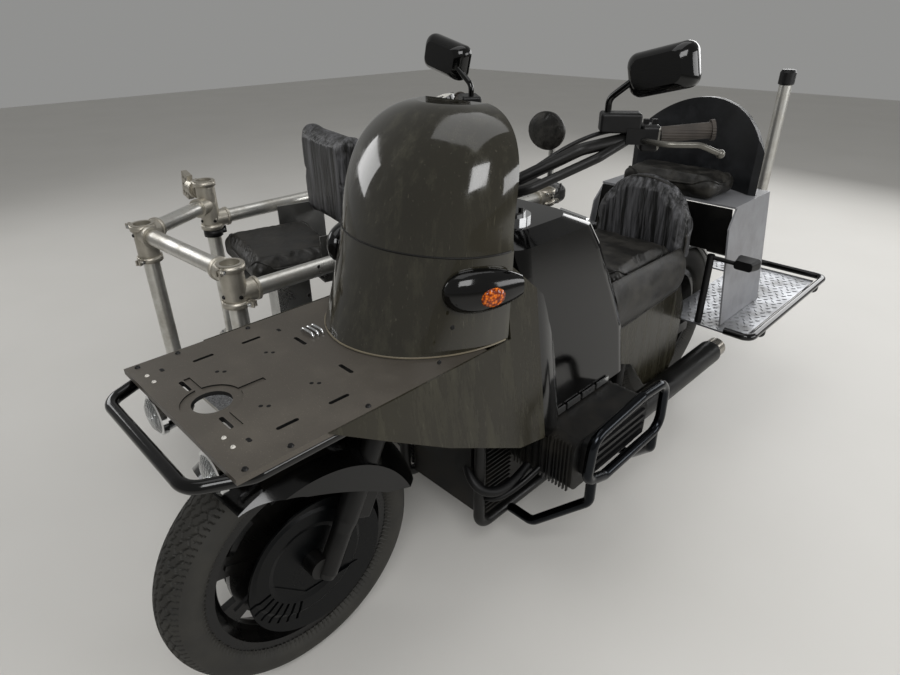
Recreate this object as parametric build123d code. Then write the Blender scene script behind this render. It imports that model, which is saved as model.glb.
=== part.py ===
from build123d import *
import math
import os

# Sidecar motorcycle for filming, in millimetres.
# While it is laid out, the front axle is above the origin, the front faces -Y,
# the rider's left is +X, the sidecar is at -X and the ground is z = 0.
# Every solid is moved at the end so that the origin is under the middle of the whole vehicle.
SHIFT_X = 448.8
SHIFT_Y = -977.75

# Driving dimensions
WHEELBASE = 1690.0
FRONT_R = 320.0
REAR_R = 331.0
SIDECAR_R = 300.0
SIDECAR_X = -1270.0
SIDECAR_Y = 1440.0
RAKE_DEG = 28.6
RAKE_TAN = math.tan(math.radians(RAKE_DEG))
RAKE_SIN = math.sin(math.radians(RAKE_DEG))
RAKE_COS = math.cos(math.radians(RAKE_DEG))
TRAIL = 100.0
AXLE_R = 10.0
FIT_GAP = 0.3

# Front plate
PLATE_HALF = 241.0
PLATE_FRONT_Y = -188.0
PLATE_REAR_Y = 400.0
PLATE_TOP_Z = 790.0
PLATE_T = 12.0
PLATE_BOTTOM_Z = PLATE_TOP_Z - PLATE_T
FORK_GAP_HALF = 142.0
FORK_GAP_Y = 192.5
FORK_GAP_SIDE_Y = 244.8
BORE_Y = -112.0
BORE_R = 38.0
BORE_RECESS_R = 58.0
BORE_RECESS = 3.0

# Structural tube of the sidecar's rails and posts
RAIL_D = 48.3
RAIL_R = RAIL_D / 2
MOUTH_R = 25.7
MOUTH_DEPTH = 24.0
RAIL_Z = 790.0
CROSS_Z = 846.0
INNER_X = -430.0
OUTER_X = -1100.0
SIDE_TUBE = 50.0
SIDE_TUBE_Z = 291.0
CROSS_TUBE = 40.0
DECK_T = 14.0
DECK_Z = SIDE_TUBE_Z + SIDE_TUBE / 2 + DECK_T

PARTS = {}


def head_point(z, x=0.0, ahead=0.0):
    """A point at height z beside or square ahead of the steering axis."""
    return (x, z * RAKE_TAN - TRAIL - ahead * RAKE_COS, z + ahead * RAKE_SIN)


def tube(points, diameter, bend=40.0):
    """A round bar along straight runs that are joined by arcs."""
    if len(points) == 2:
        path = Line(*points)
    else:
        path = FilletPolyline(*points, radius=bend)
    start = Plane(origin=path @ 0, z_dir=path % 0)
    return sweep(start * Circle(diameter / 2), path=path)


def side_plate(outline, x, thickness):
    """A flat plate that faces sideways, from its outline in y and z."""
    face = make_face(Polyline(*outline, close=True))
    return extrude(Plane.YZ.offset(x) * face, amount=thickness)


def block(x0, x1, y0, y1, z0, z1, edge=0.0):
    """A block between two corners, with its upright edges rounded."""
    body = Box(x1 - x0, y1 - y0, z1 - z0, align=(Align.MIN, Align.MIN, Align.MIN))
    if edge:
        body = fillet(body.edges().filter_by(Axis.Z), edge)
    return Pos(x0, y0, z0) * body


def cushion(width, depth, height, edge):
    """A padded block about its own middle, with every edge rounded."""
    return fillet(Box(width, depth, height).edges(), edge)


def both_sides(shape):
    """The shape and its mirror image across the motorcycle's middle."""
    return Compound(children=[shape, mirror(shape, about=Plane.YZ)])


def disc(radius, thickness):
    """A round disc about the X axis, centred on the origin."""
    return Rot(0, 90, 0) * Cylinder(radius, thickness)


def turned(outline):
    """A ring turned about the X axis from a profile given as (across, radius)."""
    return revolve(Plane.XY * make_face(outline), axis=Axis.X)


def make_tyre(outer_r, bead_r, half_width):
    """Tyre with a round tread, two sidewalls and its beads on the rim."""
    shoulder_r = outer_r - half_width * 0.36
    wall_r = bead_r + (outer_r - bead_r) * 0.42
    bead_half = half_width * 0.72
    shoulder_half = half_width * 0.86
    return turned([
        ThreePointArc((-bead_half, bead_r), (-half_width, wall_r), (-shoulder_half, shoulder_r)),
        ThreePointArc((-shoulder_half, shoulder_r), (0, outer_r), (shoulder_half, shoulder_r)),
        ThreePointArc((shoulder_half, shoulder_r), (half_width, wall_r), (bead_half, bead_r)),
        Line((bead_half, bead_r), (-bead_half, bead_r)),
    ])


def arc_slot(radius, width, arc_deg, depth):
    """A slot that follows a rim over part of a turn."""
    half = arc_deg / 2
    outer = radius + width / 2
    inner = radius - width / 2

    def at(r, deg):
        return (r * math.cos(math.radians(deg)), r * math.sin(math.radians(deg)))

    face = make_face([
        ThreePointArc(at(outer, -half), at(outer, 0), at(outer, half)),
        Line(at(outer, half), at(inner, half)),
        ThreePointArc(at(inner, half), at(inner, 0), at(inner, -half)),
        Line(at(inner, -half), at(outer, -half)),
    ])
    return extrude(Plane.YZ.offset(-depth / 2) * face, amount=depth)


def make_wheel(bead_r, rim_half, hub_half):
    """Cast wheel: a dished rim with two lips, a web with long slots between ribs, and a bored hub."""
    web_half = 9.0
    hub_r = 46.0
    lip_r = bead_r - 22
    well_r = bead_r - 34
    profile = [
        (-rim_half, bead_r), (-rim_half, lip_r), (-web_half * 2, well_r), (-web_half, well_r - 8),
        (-web_half, hub_r + 26), (-hub_half, hub_r), (-hub_half, AXLE_R),
        (hub_half, AXLE_R), (hub_half, hub_r), (web_half, hub_r + 26), (web_half, well_r - 8),
        (web_half * 2, well_r), (rim_half, lip_r), (rim_half, bead_r)]
    wheel = turned(Polyline(*profile, close=True))
    slot_r = bead_r - 58
    pitch = 360.0 / SLOT_COUNT
    cutter = arc_slot(slot_r, 30, pitch * 0.62, web_half * 6)
    rib_start = hub_r + 20
    rib = Pos(0, (rib_start + slot_r) / 2, 0) * Box(web_half * 2 + 10, slot_r - rib_start, 12)
    for index in range(SLOT_COUNT):
        wheel -= Rot(index * pitch, 0, 0) * cutter
        wheel += Rot((index + 0.5) * pitch, 0, 0) * rib
    return wheel


def make_guard(wheel_r, gap, half_width, sheet, start_deg, arc_deg):
    """Mudguard: an arched sheet turned about its wheel from start_deg, rear level being 0."""
    crown = wheel_r + gap
    edge = crown - half_width * 0.6
    profile = [
        ThreePointArc((-half_width, edge), (0, crown), (half_width, edge)),
        Line((half_width, edge), (half_width - sheet, edge)),
        ThreePointArc((half_width - sheet, edge), (0, crown - sheet), (sheet - half_width, edge)),
        Line((sheet - half_width, edge), (-half_width, edge)),
    ]
    sheet_arc = revolve(Plane.XY * make_face(profile), axis=Axis.X, revolution_arc=arc_deg)
    return Rot(start_deg, 0, 0) * sheet_arc


# Wheels, each about its own axle
SLOT_COUNT = 8
TYRE_HALF = 64.0
REAR_TYRE_HALF = 75.0
WHEELS = [
    # name, x, y, radius, sidewall height, tyre half width, rim half width, hub half width
    ("front", 0.0, 0.0, FRONT_R, 80.0, TYRE_HALF, 46.0, 46.0),
    ("rear", 0.0, WHEELBASE, REAR_R, 109.0, REAR_TYRE_HALF, 54.0, 60.0),
    ("sidecar", SIDECAR_X, SIDECAR_Y, SIDECAR_R, 95.0, 68.0, 50.0, 48.0),
]
for name, x, y, radius, wall, half_w, rim_half, hub_half in WHEELS:
    bead_r = radius - wall
    PARTS[name + "_tyre"] = Pos(x, y, radius) * make_tyre(radius, bead_r, half_w)
    PARTS[name + "_wheel"] = Pos(x, y, radius) * make_wheel(bead_r, rim_half, hub_half)

# Fork: two legs on a leading axle, held by two clamps on the steering stem
FORK_HALF = 98.0
FORK_BEHIND = 36.0
LEG_AHEAD = (FRONT_R * RAKE_TAN - TRAIL - FORK_BEHIND) * RAKE_COS
STANCHION_D = 41.0
SLIDER_D = 56.0
LOWER_CLAMP_Z = 700.0
UPPER_CLAMP_Z = 985.0
STEM_R = 14.0
SLIDER_LENGTH = 410.0
COVER_OUT = 63.0


def on_leg(z, side):
    """A point on a fork leg's centre line at height z."""
    return (side * FORK_HALF, (z - FRONT_R) * RAKE_TAN + FORK_BEHIND, z)


fork = disc(AXLE_R - FIT_GAP, 2 * FORK_HALF)
fork = Pos(0, 0, FRONT_R) * fork
for side in (-1, 1):
    leg_base = Vector(*on_leg(FRONT_R - 34, side))
    leg_plane = Plane(origin=leg_base, x_dir=(1, 0, 0), z_dir=(0, RAKE_SIN, RAKE_COS))
    slider = revolve(Plane.XZ * make_face(Polyline(
        (0, 0), (20, 0), (SLIDER_D / 2 - 4, 14), (SLIDER_D / 2 - 4, 120), (SLIDER_D / 2, 150),
        (SLIDER_D / 2, SLIDER_LENGTH - 30), (SLIDER_D / 2 + 3, SLIDER_LENGTH - 26),
        (SLIDER_D / 2 + 3, SLIDER_LENGTH - 8), (STANCHION_D / 2, SLIDER_LENGTH), (0, SLIDER_LENGTH), close=True)),
        axis=Axis.Z)
    fork += leg_plane * slider
    fork += tube([on_leg(640, side), on_leg(UPPER_CLAMP_Z + 14, side)], STANCHION_D)
    fork += Pos(side * (COVER_OUT + FIT_GAP + 20), 8, FRONT_R) * disc(26, 40)
    caliper = fillet(Box(34, 66, 104).edges(), 9)
    caliper += Pos(side * 6, -34, 20) * Box(22, 40, 30) + Pos(side * 6, -34, -26) * Box(22, 40, 24)
    fork += Pos(side * (COVER_OUT + 24), 148, FRONT_R + 118) * Rot(-28.6, 0, 0) * caliper
for clamp_z in (LOWER_CLAMP_Z, UPPER_CLAMP_Z):
    clamp_plane = Plane(origin=head_point(clamp_z), x_dir=(1, 0, 0), z_dir=(0, RAKE_SIN, RAKE_COS))
    clamp = Pos(0, -LEG_AHEAD / 2, 0) * Box(2 * FORK_HALF, LEG_AHEAD + 44, 28)
    for side in (-1, 1):
        clamp += Pos(side * FORK_HALF, -LEG_AHEAD, 0) * Cylinder(26, 28)
    clamp += Cylinder(30, 28)
    fork += clamp_plane * clamp
stem_plane = Plane(origin=head_point(LOWER_CLAMP_Z), x_dir=(1, 0, 0), z_dir=(0, RAKE_SIN, RAKE_COS))
STEM_LENGTH = (UPPER_CLAMP_Z - LOWER_CLAMP_Z) / RAKE_COS
fork += stem_plane * Cylinder(STEM_R, STEM_LENGTH + 1, align=(Align.CENTER, Align.CENTER, Align.MIN))
PARTS["fork"] = fork

# Front mudguard: an arched crown with deep side skirts that close over the fork's sliders
GUARD_T = 3.0
GUARD_SHOULDER = 100.0
GUARD_SHOULDER_R = FRONT_R - 14
GUARD_CROWN_R = FRONT_R + 16
GUARD_SKIRT = FORK_HALF + SLIDER_D / 2 + FIT_GAP + GUARD_T
GUARD_BEND_R = FRONT_R - 42
GUARD_FOOT_R = FRONT_R - 116
GUARD_START = 16.0
GUARD_ARC = 103.0
inner_shoulder = GUARD_SHOULDER - 1.0
inner_skirt = GUARD_SKIRT - GUARD_T
guard_profile = [
    ThreePointArc((-GUARD_SHOULDER, GUARD_SHOULDER_R), (0, GUARD_CROWN_R), (GUARD_SHOULDER, GUARD_SHOULDER_R)),
    Line((GUARD_SHOULDER, GUARD_SHOULDER_R), (GUARD_SKIRT, GUARD_BEND_R)),
    Line((GUARD_SKIRT, GUARD_BEND_R), (GUARD_SKIRT, GUARD_FOOT_R)),
    Line((GUARD_SKIRT, GUARD_FOOT_R), (inner_skirt, GUARD_FOOT_R)),
    Line((inner_skirt, GUARD_FOOT_R), (inner_skirt, GUARD_BEND_R - 1)),
    Line((inner_skirt, GUARD_BEND_R - 1), (inner_shoulder, GUARD_SHOULDER_R - GUARD_T)),
    ThreePointArc((inner_shoulder, GUARD_SHOULDER_R - GUARD_T), (0, GUARD_CROWN_R - GUARD_T),
                  (-inner_shoulder, GUARD_SHOULDER_R - GUARD_T)),
    Line((-inner_shoulder, GUARD_SHOULDER_R - GUARD_T), (-inner_skirt, GUARD_BEND_R - 1)),
    Line((-inner_skirt, GUARD_BEND_R - 1), (-inner_skirt, GUARD_FOOT_R)),
    Line((-inner_skirt, GUARD_FOOT_R), (-GUARD_SKIRT, GUARD_FOOT_R)),
    Line((-GUARD_SKIRT, GUARD_FOOT_R), (-GUARD_SKIRT, GUARD_BEND_R)),
    Line((-GUARD_SKIRT, GUARD_BEND_R), (-GUARD_SHOULDER, GUARD_SHOULDER_R)),
]
front_guard = Rot(GUARD_START, 0, 0) * revolve(
    Plane.XY * make_face(guard_profile), axis=Axis.X, revolution_arc=GUARD_ARC)
skirt_cut = make_face([
    ThreePointArc((-205, 225), (-97, 276), (-13, 248)),
    ThreePointArc((-13, 248), (94, 193), (187, 131)),
    Line((187, 131), (360, 60)),
    Line((360, 60), (360, -60)),
    Line((360, -60), (-205, -60)),
    Line((-205, -60), (-205, 225)),
])
front_guard -= extrude(Plane.YZ.offset(-GUARD_SKIRT - 5) * skirt_cut, amount=2 * GUARD_SKIRT + 10)
front_guard = Pos(0, 0, FRONT_R) * front_guard
leg_room = block(-inner_skirt, inner_skirt, -400, 400, FRONT_R, FRONT_R + 400)
for side in (-1, 1):
    leg_hole = tube([on_leg(FRONT_R + 180, side), on_leg(FRONT_R + 380, side)], SLIDER_D + 16)
    front_guard -= leg_hole & leg_room
PARTS["front_mudguard"] = front_guard

# Fixed disc covers: an offset shroud, a stepped ring about the axle, a wedge recess and seven louvres
COVER_T = 6.0
COVER_X = COVER_OUT - COVER_T
COVER_RING_R = 143.0
SHROUD_R = 178.0
SHROUD_OFF = 24.0
cover = Pos(0, SHROUD_OFF, -SHROUD_OFF) * disc(SHROUD_R, COVER_T)
ring_step = turned(Polyline(
    (COVER_T / 2, COVER_RING_R), (COVER_T / 2 + 4, COVER_RING_R - 8), (COVER_T / 2 + 4, COVER_RING_R - 38),
    (COVER_T / 2, COVER_RING_R - 50), close=True))
cover += ring_step
wedge = make_face(Polyline((-94, -7), (53, -46), (132, -96), (-20, -85), close=True))
cover -= extrude(Plane.YZ.offset(COVER_T / 2 - 2.5) * wedge, amount=20)
for index in range(7):
    louvre = Rot(-170 + 10 * index, 0, 0) * Pos(0, 132, 0) * Box(30, 52, 7)
    cover -= louvre
cover = Pos(COVER_X + COVER_T / 2, 0, FRONT_R) * (cover - disc(AXLE_R, 60))
PARTS["disc_covers"] = both_sides(cover)

# Handlebar from two risers, with grips, levers, mirrors and a round gauge
BAR_D = 28.0
BAR_ROOT = (0, 640, 1085)
BAR_OUTER = [(95, 640, 1085), (205, 745, 1160), (262, 861, 1178), (400, 970, 1197)]
left_bar = tube([BAR_ROOT] + BAR_OUTER, BAR_D, 45)


def on_clamp(x, back, up):
    """A point over the upper clamp, in its own tilted frame."""
    foot = head_point(UPPER_CLAMP_Z)
    return (x, foot[1] + back * RAKE_COS + up * RAKE_SIN, foot[2] - back * RAKE_SIN + up * RAKE_COS)


riser = tube([on_clamp(64, 0, 14), on_clamp(64, 0, 60), (66, 640, 1085)], 30, 22)
brace = tube([(70, 600, 1052), (150, 640, 1080), (236, 770, 1142), (262, 851, 1176)], 22, 40)
half_bar = left_bar + riser + brace
PARTS["handlebar"] = half_bar + mirror(half_bar, about=Plane.YZ)

grip_start = Vector(*BAR_OUTER[-2])
grip_end = Vector(*BAR_OUTER[-1])
grip_dir = (grip_end - grip_start).normalized()


def on_grip(along, out=0.0, up=0.0):
    """A point beside the grip, measured from its inner end."""
    side = grip_dir.cross(Vector(0, 0, 1)).normalized()
    return tuple(grip_start + grip_dir * along + side * out + Vector(0, 0, up))


GRIP_D = 36.0
GRIP_FROM = 64.0
GRIP_TO = 181.0
grip = tube([on_grip(GRIP_FROM), on_grip(GRIP_TO)], GRIP_D)
grip += tube([on_grip(GRIP_TO - 8), on_grip(GRIP_TO)], GRIP_D + 10)
grip -= tube([on_grip(GRIP_FROM - 12), on_grip(GRIP_TO - 4.1)], BAR_D)
PARTS["grips"] = both_sides(grip)

# Switch housing, lever with its ball end, and the square fluid box inboard of it
control_plane = Plane(origin=on_grip(0), x_dir=grip_dir, z_dir=(0, 0, 1))
controls = control_plane * Pos(38, 0, 2) * fillet(Box(44, 58, 58).edges(), 9)
controls += control_plane * Pos(-30, 0, 34) * fillet(Box(92, 54, 44).edges(), 7)
controls += control_plane * Pos(4, -14, 6) * Box(40, 30, 34)
controls -= tube([on_grip(-140), on_grip(90)], BAR_D + 2 * FIT_GAP)
controls -= both_sides(tube(BAR_OUTER, BAR_D, 45)) + brace
lever = tube([on_grip(20, 24, -4), on_grip(66, 66, -10), on_grip(140, 64, -18), on_grip(190, 52, -44)], 13, 40)
lever += Pos(*on_grip(190, 52, -44)) * Sphere(10)
controls += lever
button_row = control_plane * Pos(30, 10, 34) * Box(12, 12, 12) + control_plane * Pos(50, 10, 34) * Box(12, 12, 12)
PARTS["levers"] = both_sides(controls + button_row)

# Mirrors: a bent stalk and a deep shell that carries the glass on the rider's side
MIRROR_AT = (326, 836, 1326)
MIRROR_TURN = 14.0
stalk_foot = (on_grip(-60)[0], on_grip(-60)[1], BAR_OUTER[-2][2] + 56.3)
mirror_stalk = tube([stalk_foot, (stalk_foot[0], stalk_foot[1], 1262), (270, 824, 1304)], 15, 26)
mirror_place = Pos(*MIRROR_AT) * Rot(90, 0, MIRROR_TURN)
mirror_head = mirror_place * loft([
    Plane.XY.offset(-22) * RectangleRounded(150, 88, 22),
    Plane.XY.offset(-8) * RectangleRounded(156, 92, 24),
    Plane.XY.offset(26) * RectangleRounded(112, 62, 20),
])
PARTS["mirrors"] = both_sides(mirror_stalk + mirror_head)

# Clock on the right arm of the handlebar
gauge_stalk = tube([(-177, 718, 1155), (-177, 718, 1190), (-205, 700, 1215)], 12, 14)
gauge_plane = Plane(origin=(-205, 700, 1215), z_dir=(-8, -10, 35))
gauge_body = gauge_plane * (Cylinder(40, 22, align=(Align.CENTER, Align.CENTER, Align.MIN))
                            + Pos(0, 0, 16) * Cylinder(44, 10, align=(Align.CENTER, Align.CENTER, Align.MIN)))
PARTS["gauge"] = gauge_stalk + gauge_body - both_sides(tube(BAR_OUTER, BAR_D + FIT_GAP, 45))

# Front plate with its round bore and the opening for the fork
plate = block(-PLATE_HALF, PLATE_HALF, PLATE_FRONT_Y, PLATE_REAR_Y, PLATE_BOTTOM_Z, PLATE_TOP_Z)
gap_outline = make_face([
    ThreePointArc((-FORK_GAP_HALF, FORK_GAP_SIDE_Y), (0, FORK_GAP_Y), (FORK_GAP_HALF, FORK_GAP_SIDE_Y)),
    Line((FORK_GAP_HALF, FORK_GAP_SIDE_Y), (FORK_GAP_HALF, PLATE_REAR_Y + 10)),
    Line((FORK_GAP_HALF, PLATE_REAR_Y + 10), (-FORK_GAP_HALF, PLATE_REAR_Y + 10)),
    Line((-FORK_GAP_HALF, PLATE_REAR_Y + 10), (-FORK_GAP_HALF, FORK_GAP_SIDE_Y)),
])
plate -= extrude(Plane.XY.offset(PLATE_BOTTOM_Z - 5) * gap_outline, amount=PLATE_T + 10)
plate -= Pos(0, BORE_Y, PLATE_TOP_Z) * Cylinder(BORE_R, 60)
plate -= Pos(0, BORE_Y, PLATE_TOP_Z) * Cylinder(BORE_RECESS_R, 2 * BORE_RECESS)
ARM_W = 13.0
ARM_REACH = 112.0
for turn in (0, 90, 180):
    arm = Pos((BORE_RECESS_R + ARM_REACH) / 2 - 3, 0, 0) * Box(ARM_REACH - BORE_RECESS_R + 6, ARM_W, 2 * BORE_RECESS)
    plate -= Pos(0, BORE_Y, PLATE_TOP_Z) * Rot(0, 0, turn) * arm
SLOT_W = 9.0
SLOT_L = 46.0
PATTERN_Y = 6.0
slot_cut = Pos(0, PATTERN_Y, PLATE_TOP_Z) * extrude(SlotOverall(SLOT_L, SLOT_W), amount=PLATE_T * 2, both=True)
for x in (-168, 168):
    for y in (-56, 56):
        plate -= Pos(x, y, 0) * Pos(0, PATTERN_Y, 0) * Rot(0, 0, 90) * Pos(0, -PATTERN_Y, 0) * slot_cut
for x in (-86, 86):
    for y in (-132, 132):
        plate -= Pos(x, y, 0) * slot_cut
PARTS["front_plate"] = plate

# Bumper tube and two lamps under the plate's front edge
BUMPER_D = 25.0
BUMPER_Z = PLATE_BOTTOM_Z - BUMPER_D / 2
BUMPER_Y = -246.0
BUMPER_X = 226.0
half_bumper = tube([(0, BUMPER_Y, BUMPER_Z), (176, BUMPER_Y, BUMPER_Z), (BUMPER_X, -150, BUMPER_Z),
                    (BUMPER_X, 180, BUMPER_Z)], BUMPER_D, 46)
PARTS["front_bumper"] = half_bumper + mirror(half_bumper, about=Plane.YZ)

# Lamp bowls turned about their beam, each with a rim, a domed lens and a bracket up to the plate
LAMP_R = 43.0
LAMP_AT = (124, -176, 730)
bowl = revolve(Plane.XZ * make_face(Polyline(
    (0, -66), (16, -66), (28, -54), (36, -34), (LAMP_R - 3, -2), (LAMP_R, -2), (LAMP_R, 9), (LAMP_R - 5, 11),
    (26, 18), (12, 21), (0, 22), close=True)), axis=Axis.Z)
lamp = Pos(*LAMP_AT) * Rot(90, 0, 0) * bowl
lamp += tube([(LAMP_AT[0], LAMP_AT[1] + 34, LAMP_AT[2]), (LAMP_AT[0], LAMP_AT[1] + 34, PLATE_BOTTOM_Z)], 16)
PARTS["driving_lamps"] = both_sides(lamp)


def cowl_section(z, front_y, rear_y, half):
    """Plan outline of the cowl at height z: half an oval, drawn with four arcs, and a straight rear."""
    depth = rear_y - front_y

    def at(share):
        angle = math.radians(90 * share)
        return (half * math.sin(angle), rear_y - depth * math.cos(angle), z)

    return make_face([
        ThreePointArc(at(-1), at(-0.75), at(-0.5)),
        ThreePointArc(at(-0.5), at(-0.25), at(0)),
        ThreePointArc(at(0), at(0.25), at(0.5)),
        ThreePointArc(at(0.5), at(0.75), at(1)),
        Line(at(1), at(-1)),
    ])


COWL_T = 5.0
COWL_TABLE = [
    # height, front y, rear y, half width
    (PLATE_TOP_Z, 190.0, 470.0, PLATE_HALF),
    (900.0, 240.0, 470.0, PLATE_HALF + 3),
    (1000.0, 281.0, 470.0, PLATE_HALF + 6),
]
SCREEN_TABLE = [
    # height, front y, rear y, half width
    (1000.0, 281.0, 470.0, PLATE_HALF + 6),
    (1110.0, 318.0, 478.0, PLATE_HALF + 2),
    (1185.0, 364.0, 498.0, 226.0),
    (1240.0, 418.0, 524.0, 178.0),
    (1268.0, 470.0, 548.0, 96.0),
]


def cowl_shell(table, open_top):
    """A thin cowl, open at the back and the foot, and at the top if asked."""
    outer = loft([cowl_section(*row) for row in table])
    inner_rows = []
    for z, front, rear, half in table:
        top = z == table[-1][0]
        shift = 0 if open_top or not top else -COWL_T
        inner_rows.append((z + shift, front + COWL_T, rear + 60, half - COWL_T))
    return outer - loft([cowl_section(*row) for row in inner_rows])


PARTS["cowl_lower"] = cowl_shell(COWL_TABLE, True)
PARTS["cowl_upper"] = cowl_shell(SCREEN_TABLE, False)

# Leg shields flare out below the plate, and their rear edge is rolled inwards
SHIELD_T = 5.0
SHIELD_TILT = 8.0
ROLL_Y = 575.0
shield_outline = [(-14, 789), (121, 702), (255, 618), (480, 500), (600, 477), (668, 484),
                  (672, 548), (655, 690), (600, 856), (485, 963), (474, 963), (474, 790)]
shield_place = Pos(PLATE_HALF, 0, PLATE_TOP_Z) * Rot(0, -SHIELD_TILT, 0) * Pos(0, 0, -PLATE_TOP_Z)
roll_plan = make_face([
    Line((0, -40), (0, ROLL_Y)),
    ThreePointArc((0, ROLL_Y), (-9.6, ROLL_Y + 53), (-35, ROLL_Y + 101.5)),
    Line((-35, ROLL_Y + 101.5), (-31, ROLL_Y + 105)),
    ThreePointArc((-31, ROLL_Y + 105), (-4.8, ROLL_Y + 55), (SHIELD_T, ROLL_Y)),
    Line((SHIELD_T, ROLL_Y), (SHIELD_T, -40)),
    Line((SHIELD_T, -40), (0, -40)),
])
shield_wall = extrude(Plane.XY.offset(400) * roll_plan, amount=600)
shield_side = side_plate(shield_outline, -60, 80)
shield = shield_place * (shield_wall & shield_side)
PARTS["leg_shields"] = both_sides(shield)

# Signal pods: a teardrop that lies on the cowl's side
POD_AT = (236, 398, 932)
pod_turn = Rot(0, 0, -27)
pod = Pos(*POD_AT) * pod_turn * loft([
    Plane.XZ.offset(92) * Ellipse(10, 14),
    Plane.XZ.offset(74) * Ellipse(24, 36),
    Plane.XZ.offset(30) * Ellipse(34, 48),
    Plane.XZ.offset(-30) * Ellipse(30, 42),
    Plane.XZ.offset(-80) * Ellipse(14, 22),
])
pod_room = loft([cowl_section(z, front - FIT_GAP, rear, half + FIT_GAP) for z, front, rear, half in COWL_TABLE])
pod -= pod_room
pod -= shield
pod -= block(0, 400, 470, 600, 700, 1200)
PARTS["signal_pods"] = both_sides(pod)

# Tank shelter between the leg shields and the seat, hollow over the engine
BACKBONE_D = 44.0
BACKBONE = [head_point(880, 0, -30), (0, 640, 640), (0, 1190, 610)]
SHELTER_INSET = 42.0
ENGINE_HALF = 150.0
ENGINE_TOP_Z = 560.0
HEAD_X = 350.0
HEAD_Z0 = 310.0
HEAD_Z1 = 470.0
SHELTER_TABLE = [
    # height, front y, rear y
    (HEAD_Z1 + 5, 640.0, 1052.0),
    (624.0, 600.0, 1050.0),
    (744.0, 575.0, 1004.0),
    (880.0, 560.0, 946.0),
    (950.0, 560.0, 900.0),
    (980.0, 590.0, 840.0),
]


def shelter_half(z):
    """Half width of the shelter at height z, inboard of the tilted shields."""
    return PLATE_HALF - SHELTER_INSET - (z - PLATE_TOP_Z) * math.tan(math.radians(SHIELD_TILT))


def shelter_body(inset):
    """The shelter as a solid, made smaller all round by the inset."""
    sections = []
    for z, front, rear in SHELTER_TABLE:
        last = z == SHELTER_TABLE[-1][0]
        width = 2 * (shelter_half(z) - inset) - (70 if last else 0)
        top = z - (inset if last else 0)
        section = RectangleRounded(width, rear - front - 2 * inset, 66 if last else 58)
        sections.append(Plane.XY.offset(top) * Pos(0, (front + rear) / 2) * section)
    return loft(sections, ruled=True)


shelter = shelter_body(0) - shelter_body(6)
shelter -= tube(BACKBONE, BACKBONE_D + FIT_GAP, 60)
shelter -= block(-ENGINE_HALF - 1, ENGINE_HALF + 1, 400, 1200, 400, ENGINE_TOP_Z + 1)
cap = Pos(50, 690, 980) * (Cylinder(52, 12, align=(Align.CENTER, Align.CENTER, Align.MIN))
                           + Cylinder(38, 22, align=(Align.CENTER, Align.CENTER, Align.MIN)))
shelter += cap
for x in (20, 84):
    shelter += Pos(x, 690, 1000) * Cylinder(7, 14, align=(Align.CENTER, Align.CENTER, Align.MIN))
PARTS["tank_shelter"] = shelter

# Seats of the motorcycle, placed from the rear axle
SEAT_FRONT = WHEELBASE - 630.0
SEAT_BACK = WHEELBASE - 250.0
SEAT_Z0 = 655.0
SEAT_Z1 = 745.0
BACK_T = 80.0
rider_middle = (SEAT_FRONT + SEAT_BACK) / 2
PARTS["rider_seat"] = Pos(0, rider_middle, (SEAT_Z0 + SEAT_Z1) / 2) * cushion(
    340, SEAT_BACK - SEAT_FRONT, SEAT_Z1 - SEAT_Z0, 30)
BACK_HALF = 190.0
back_arch = make_face([
    Line((-BACK_HALF, 672), (BACK_HALF, 672)),
    Line((BACK_HALF, 672), (BACK_HALF, 790)),
    ThreePointArc((BACK_HALF, 790), (0, 960), (-BACK_HALF, 790)),
    Line((-BACK_HALF, 790), (-BACK_HALF, 672)),
])
rider_back = extrude(Plane.XZ.offset(-SEAT_BACK - BACK_T - 0.6) * back_arch, amount=BACK_T)
PARTS["rider_backrest"] = fillet(rider_back.edges(), 22)
OPERATOR_Y = WHEELBASE - 2.0
PARTS["operator_seat"] = Pos(0, OPERATOR_Y, 893) * cushion(380, 200, 76, 25)

# Operator's backrest: a shell bowed round the sitter with an oval top
SHELL_Y = WHEELBASE + 162.0
SHELL_HALF = 246.0
SHELL_T = 24.0
shell_plan = make_face([
    ThreePointArc((-SHELL_HALF, SHELL_Y - 58), (0, SHELL_Y + 26), (SHELL_HALF, SHELL_Y - 58)),
    Line((SHELL_HALF, SHELL_Y - 58), (SHELL_HALF - SHELL_T, SHELL_Y - 66)),
    ThreePointArc((SHELL_HALF - SHELL_T, SHELL_Y - 66), (0, SHELL_Y + 26 - SHELL_T),
                  (SHELL_T - SHELL_HALF, SHELL_Y - 66)),
    Line((SHELL_T - SHELL_HALF, SHELL_Y - 66), (-SHELL_HALF, SHELL_Y - 58)),
])
BOX_TOP_Z = 855.0
shell_front = make_face([
    Line((-SHELL_HALF - 1, BOX_TOP_Z + 0.3), (SHELL_HALF + 1, BOX_TOP_Z + 0.3)),
    Line((SHELL_HALF + 1, BOX_TOP_Z + 0.3), (SHELL_HALF + 1, 1000)),
    ThreePointArc((SHELL_HALF + 1, 1000), (0, 1158), (-SHELL_HALF - 1, 1000)),
    Line((-SHELL_HALF - 1, 1000), (-SHELL_HALF - 1, BOX_TOP_Z + 0.3)),
])
shell = extrude(Plane.XY.offset(BOX_TOP_Z) * shell_plan, amount=320)
shell = shell & extrude(Plane.XZ.offset(-SHELL_Y - 60) * shell_front, amount=160)
PARTS["operator_backrest"] = shell

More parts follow.
